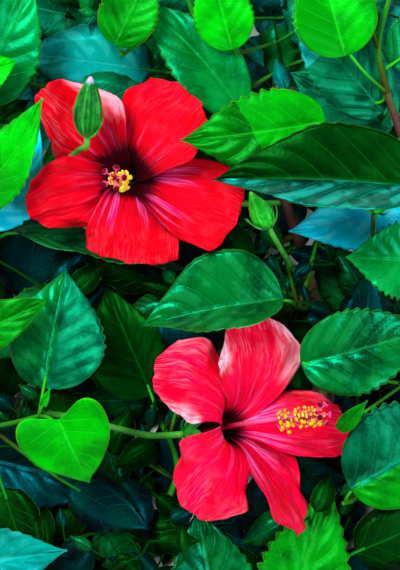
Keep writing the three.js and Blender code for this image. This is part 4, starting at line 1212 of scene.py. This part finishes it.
def grow_sprigs(targets, lengths, levels, chance):
    """A finer twig with its leaf over each target that is still bare, from one of the places near it."""
    shares = np.arange(4, 24) / 24
    carriers = [(mass, stem) for mass in masses
                for stem in mass["twigs"] + mass["stems"] + mass["sprig_stems"]]
    points = np.concatenate([along_path(stem["path"], shares) for _, stem in carriers])
    owners = [mass for mass, _ in carriers for _ in shares]
    for target in targets:
        if shaded[cells_at(np.array([*target, 0]))[:2]].any():
            continue
        near = np.argsort(np.linalg.norm(points[:, :2] - target, axis=1))
        for number in range(SPRIG["tries"]):
            at = near[number * number // 4]
            stem, one = sprig_over(target, points[at], lengths, levels, chance)
            if has_room(stem, one):
                one["stalk"] = petiole(one["leaf"], one["root"]) | SPRIG_STALK
                owners[at]["sprig_stems"].append(stem)
                owners[at]["sprigs"].append(one)
                fill_blade(leaf_places(one["leaf"], *SPRIG_PLACES))
                filled[cells_at(rod_places(stem))] = True
                break


for bloom in blooms:
    for blade in bloom["petals"]:
        fill_blade(petal_places(bloom["axes"], blade, *BLADE_PLACES)[0])
for limb in [*limbs.values(), *(one["stem"] for one in blooms + buds)]:
    filled[cells_at(rod_places(limb))] = True
for mass in masses:
    for one in mass["large"]:
        if "joint" in one["leaf"]:
            one["stalk"] = petiole(one["leaf"], np.array(one["leaf"]["joint"], float))
    mass["sprig_stems"], mass["sprigs"] = [], []
    for stem in mass["twigs"] + mass["stems"] + [one["stalk"] for one in mass["large"] + mass["grown"]]:
        filled[cells_at(rod_places(stem))] = True
    for one in mass["large"] + mass["grown"]:
        fill_blade(leaf_places(one["leaf"], *BLADE_PLACES))

OUTLINE = {"middle": 235, "half_width": 158, "half_length": 206}
TARGET_STEP = 4.0


def in_crown(x, y):
    """Whether a place lies inside the uneven outline of the finer leaves."""
    away = y - OUTLINE["middle"]
    turn = math.atan2(away, x)
    reach = 1 - 0.05 * math.sin(5 * turn) - 0.03 * math.sin(11 * turn)
    return (abs(x) / OUTLINE["half_width"]) ** 5 + (abs(away) / OUTLINE["half_length"]) ** 5 < reach ** 5


columns, rows = np.arange(-166, 168, TARGET_STEP), np.arange(20, 444, TARGET_STEP)
targets = [(x, y) for x in columns for y in rows if in_crown(x, y)]

# Each round has its seed, the lengths of its leaves and the heights they lie at, and the leaves get smaller.
rounds = [(977, (40, 64), (-3.5, 9)), (983, (28, 46), (-3.5, 18)), (991, (16, 28), (-3.5, 26)),
          (997, (9, 18), (-4, 36))]
for seed, lengths, levels in rounds:
    grow_sprigs(np.array(targets), lengths, levels, Chance(seed))

VEINS = 6.5
VEIN_SLANT = 0.3
LEAF_THICKNESS = 0.6
LARGE_GRID, GROWN_GRID, SPRIG_GRID = (84, 20, 14), (16, 4, 8), (12, 2, 6)

# The tones, in the order of the finishes below. Teal, glossy, lagoon and sky are tinted towards cyan to paint
# the sheen of the sky on the wax, and shade paints the shade that falls among the lower leaves.
TONES = ["fresh", "meadow", "green", "deep", "dark", "glossy", "teal", "lagoon", "sky", "shade"]


def leaf_relief(s, v, length, pucker):
    """The blade sinks along its midrib and side veins, swells between them, and waves along its rim."""
    away = np.abs(v)
    swell = np.abs(np.sin(np.pi * (s - VEIN_SLANT * away) * VEINS)) ** 0.7
    swell = swell * np.minimum(1, 5 * away) * (1 - away ** 3)
    groove = np.exp(-(v / 0.06) ** 2)
    wave = away ** 3 * np.sin(2 * np.pi * 2.6 * s + 2 * v + length)
    depth = 0.016 * pucker * swell - 0.01 * groove + 0.012 * wave
    return length * depth * smooth(s / 0.12) * smooth((1 - s) / 0.08)


def leaf_part(blade, tint, grid):
    """A closed blade with saw teeth that point forward along its outer two thirds. The grid gives its rows
    and columns of faces and its teeth on a side."""
    rows, columns, teeth = grid
    blade = blade | blade.get("drawn", {})
    *_, up, length = leaf_frame(blade)
    s, v = blade_grid(rows, columns)
    saw = np.modf(s * teeth)[0]
    depth = blade.get("teeth", 0.11) * smooth((s - 0.22) / 0.2) * np.abs(v) ** 4
    tooth = depth * (np.minimum(saw / 0.75, (1 - saw) / 0.25) - 0.5)
    relief = leaf_relief(s, v, length, blade.get("pucker", 1))
    places = leaf_places(blade, s, v, tooth * (1 - s) ** 0.25, relief)
    part = sheet_part(places, up + 0 * places, LEAF_THICKNESS, along=s, across=v, tint=tint + 0 * s)
    tones = np.full(len(part["faces"]), TONES.index(blade["tone"]))
    # A second tone on part of a blade paints the light or shade on that part: a cyan sheen where it would
    # catch the sky, and shade where it tilts away.
    if "second" in blade:
        tone, length_share, side_share, edge = blade["second"]
        corner = np.array([face[0] for face in part["faces"]])
        place = length_share * part["values"]["along"] + side_share * part["values"]["across"]
        tones[place[corner] > edge] = TONES.index(tone)
    return part | {"finish": tones}


def leaf_finish(name, dark, light, vein, rim, gloss, shine, vein_share, patches=0.0, level=0.7):
    """Waxy green, paler along its veins and rim, mottled, with pale patches of painted sheen between the
    veins in some.
    """
    wax = Finish(name)
    along, away = wax.value("along"), wax.calc("ABSOLUTE", wax.value("across"))
    phase = wax.times(wax.minus(along, wax.times(away, VEIN_SLANT)), VEINS)
    side_veins = wax.step(wax.calc("PINGPONG", phase, 0.5), 0.01, 0.06, 0.7, 0.0)
    midrib = wax.step(away, 0.008, 0.05, 1.0, 0.0)
    veins = wax.calc("MAXIMUM", midrib, wax.times(side_veins, wax.step(away, 0.5, 0.95, 1.0, 0.0)))
    broad, net = wax.noise(38.0, 3.0), wax.noise(520.0, 3.0)
    share = wax.plus(wax.step(broad, 0.3, 0.7), wax.minus(wax.value("tint"), 0.5))
    share = wax.plus(share, wax.times(wax.minus(net, 0.5), 0.5))
    green = wax.mix(wax.step(share, 0.0, 1.0), colour(dark), colour(light))
    # Painted sheen: pale patches on the swellings between the side veins, where the wax would catch the
    # light.
    if patches:
        between = wax.times(wax.step(wax.calc("PINGPONG", phase, 0.5), 0.08, 0.3), patches)
        pale = wax.times(wax.step(wax.noise(75.0, 2.0), 0.45, 0.6), between)
        green = wax.mix(pale, green, colour(vein))
    green = wax.mix(wax.times(veins, vein_share), green, colour(vein))
    green = wax.mix(wax.step(away, 0.955, 1.0, 0.0, 0.7), green, colour(rim))
    relief = wax.minus(wax.times(net, 0.6), veins)
    return wax.shade(
        Base_Color=green,
        Roughness=wax.step(net, 0.3, 0.7, shine, shine + 0.08),
        Specular_IOR_Level=level,
        Specular_Tint=gloss,
        Normal=wax.bump(relief, 0.0003, 0.8),
    )


LEAF_GLOSS, CYAN_GLOSS = (0.0, 1.0, 0.5, 1), (0.0, 0.75, 1.0, 1)

leaf_finishes = [
    leaf_finish("leaf_fresh", "008200", "00bc00", "1edc28", "64e61e", GREEN_GLOSS, 0.4, 0.35),
    leaf_finish("leaf_meadow", "004b00", "008205", "1eaa28", "78c81e", GREEN_GLOSS, 0.35, 0.4),
    leaf_finish("leaf_green", "005f14", "009632", "14a04b", "50c83c", LEAF_GLOSS, 0.3, 0.4, 0.3),
    leaf_finish("leaf_deep", "002d05", "00641b", "1e9b50", "3ca028", LEAF_GLOSS, 0.24, 0.3, 0.25),
    leaf_finish("leaf_dark", "000f00", "002802", "0a6414", "328c28", GREEN_GLOSS, 0.4, 0.4, level=0.35),
    leaf_finish("leaf_glossy_painted_sheen", "00241a", "005a3c", "0f9a88", "328c28", CYAN_GLOSS, 0.2, 0.5, 0.8),
    leaf_finish("leaf_teal_painted_sheen", "003219", "006941", "149669", "32a55f", LEAF_GLOSS, 0.3, 0.35, 0.4, level=0.5),
    leaf_finish("leaf_lagoon_painted_sheen", "005f58", "008c7d", "28b4a5", "3cb48c", CYAN_GLOSS, 0.35, 0.3, 0.5, level=0.4),
    leaf_finish("leaf_painted_sky_sheen", "00c8f5", "00ebff", "5af5ff", "3cc8b4", CYAN_GLOSS, 0.32, 0.25, 0.6),
    leaf_finish("leaf_shade", "000c08", "002814", "003c1e", "003c14", CYAN_GLOSS, 0.34, 0.3, level=0.38),
]
twig_skin = plain_skin("twig_skin", "3c1e0f", "1e7814", 0.0, 0.7, 0.5, grain_size=300.0)
petiole_skin = plain_skin("petiole_skin", "326e0f", "28b41e", 0.0, 0.8, 0.45)
deep_stalk = plain_skin("deep_stalk", "1e4b0a", "0f781e", 0.0, 0.8, 0.45)
shade_stalk = plain_skin("shade_stalk", "051e05", "002d0a", 0.0, 0.8, 0.7)

# Outer leaves vary, those near the tips are lighter, mostly in tones that paint the sky's sheen, and those
# among the blooms get dark tones that paint the shade they lie in.

INNER = {"half_width": 128, "near": 66, "far": 430, "tips_painted_sheen": 345}
GROWN_TONES = {
    "outer": ["deep", "dark", "green", "meadow", "teal", "deep"],
    "tips_painted_sheen": ["lagoon", "green", "teal", "lagoon", "lagoon", "green"],
    "inner": ["shade", "shade", "dark", "shade", "dark", "deep"],
}
TONE_SEED = 900


def grown_tone(middle, chance):
    outer = abs(middle[0]) > INNER["half_width"] or not INNER["near"] < middle[1] < INNER["far"]
    zone = "outer" if outer else "tips_painted_sheen" if middle[1] > INNER["tips_painted_sheen"] else "inner"
    tones = GROWN_TONES[zone]
    return tones[int(len(tones) * chance())]


for mass in masses:
    chance = Chance(mass["seed"] + TONE_SEED)
    for one in mass["grown"] + mass["sprigs"]:
        one["leaf"]["tone"] = grown_tone((one["leaf"]["base"] + one["leaf"]["tip"]) / 2, chance)
    large = [leaf_part(one["leaf"], one["leaf"].get("tint", 0.5), LARGE_GRID) for one in mass["large"]]
    spread = [leaf_part(one["leaf"], chance(0.1, 0.7), GROWN_GRID) for one in mass["grown"]]
    small = [leaf_part(one["leaf"], chance(0.0, 0.5), SPRIG_GRID) for one in mass["sprigs"]]
    name = mass["name"]
    for kind, parts in [("large_leaves", large), ("leaves", spread + small)]:
        if parts:
            new_piece(f"{name}_{kind}", parts, leaf_finishes, [name], crease=180)
    rods = [limb_part(**stem, sides=8, step=4) for stem in mass["twigs"] + mass["stems"]]
    rods += [limb_part(**stem, sides=6, step=4) | {"finish": 3} for stem in mass["sprig_stems"]]
    for finish, kind in enumerate(["large", "grown", "sprigs"], 1):
        rods += [limb_part(**one["stalk"], sides=6, step=4) | {"finish": finish} for one in mass[kind]]
    new_piece(f"{name}_twigs", rods, [twig_skin, petiole_skin, deep_stalk, shade_stalk])

# Floor, light and camera
# The branch lies on a plain pale floor, under one large soft light from above and behind it, a weaker one
# from the front right, and a pale sky. The camera looks straight down on it.

FLOOR_REACH = 3000
signs = [(-1, -1), (1, -1), (1, 1), (-1, 1)]
corners = np.array([[x * FLOOR_REACH, y * FLOOR_REACH, FLOOR] for x, y in signs]) * MM
floor_mesh = bpy.data.meshes.new("studio_floor")
floor_mesh.from_pydata(corners.tolist(), [], [(0, 1, 2, 3)])
studio_floor = add_object("studio_floor", floor_mesh)
paper = Finish("pale_paper")
paper.shade(Base_Color=paper.mix(paper.noise(4.0, 2.0), colour("dcdcd8"), colour("e6e6e2")), Roughness=0.9)
floor_mesh.materials.append(paper.material)
studio_floor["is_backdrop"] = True


def soft_light(name, place, target, size, power, tint):
    lamp = bpy.data.lights.new(name, "AREA")
    lamp.shape = "DISK"
    lamp.size = size
    lamp.energy = power
    lamp.color = tint
    light = add_object(name, lamp)
    light.location = place
    light.rotation_euler = (Vector(target) - Vector(place)).to_track_quat("-Z", "Y").to_euler()


middle = (0.0, 0.25, 0.03)
soft_light("key_light", (-0.7, 1.0, 1.5), middle, 0.9, 44, (1.0, 0.99, 0.97))
soft_light("fill_light", (0.9, -0.2, 1.1), middle, 0.8, 15, (0.92, 0.97, 1.0))

world = bpy.data.worlds.new("pale_sky")
world.use_nodes = True
world.node_tree.nodes["Background"].inputs["Color"].default_value = (0.7, 0.9, 1.0, 1)
world.node_tree.nodes["Background"].inputs["Strength"].default_value = 0.25
bpy.context.scene.world = world
bpy.context.scene.view_settings.view_transform = "Standard"

camera_data = bpy.data.cameras.new("camera")
camera_data.sensor_fit = "VERTICAL"
camera_data.sensor_height = 36
camera_data.lens = 108.9
camera = add_object("camera", camera_data)
camera.location = (LOOKED_FROM * MM).tolist()
bpy.context.scene.camera = camera

[[list(corner) for corner in box] for box in (cad_box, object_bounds())]
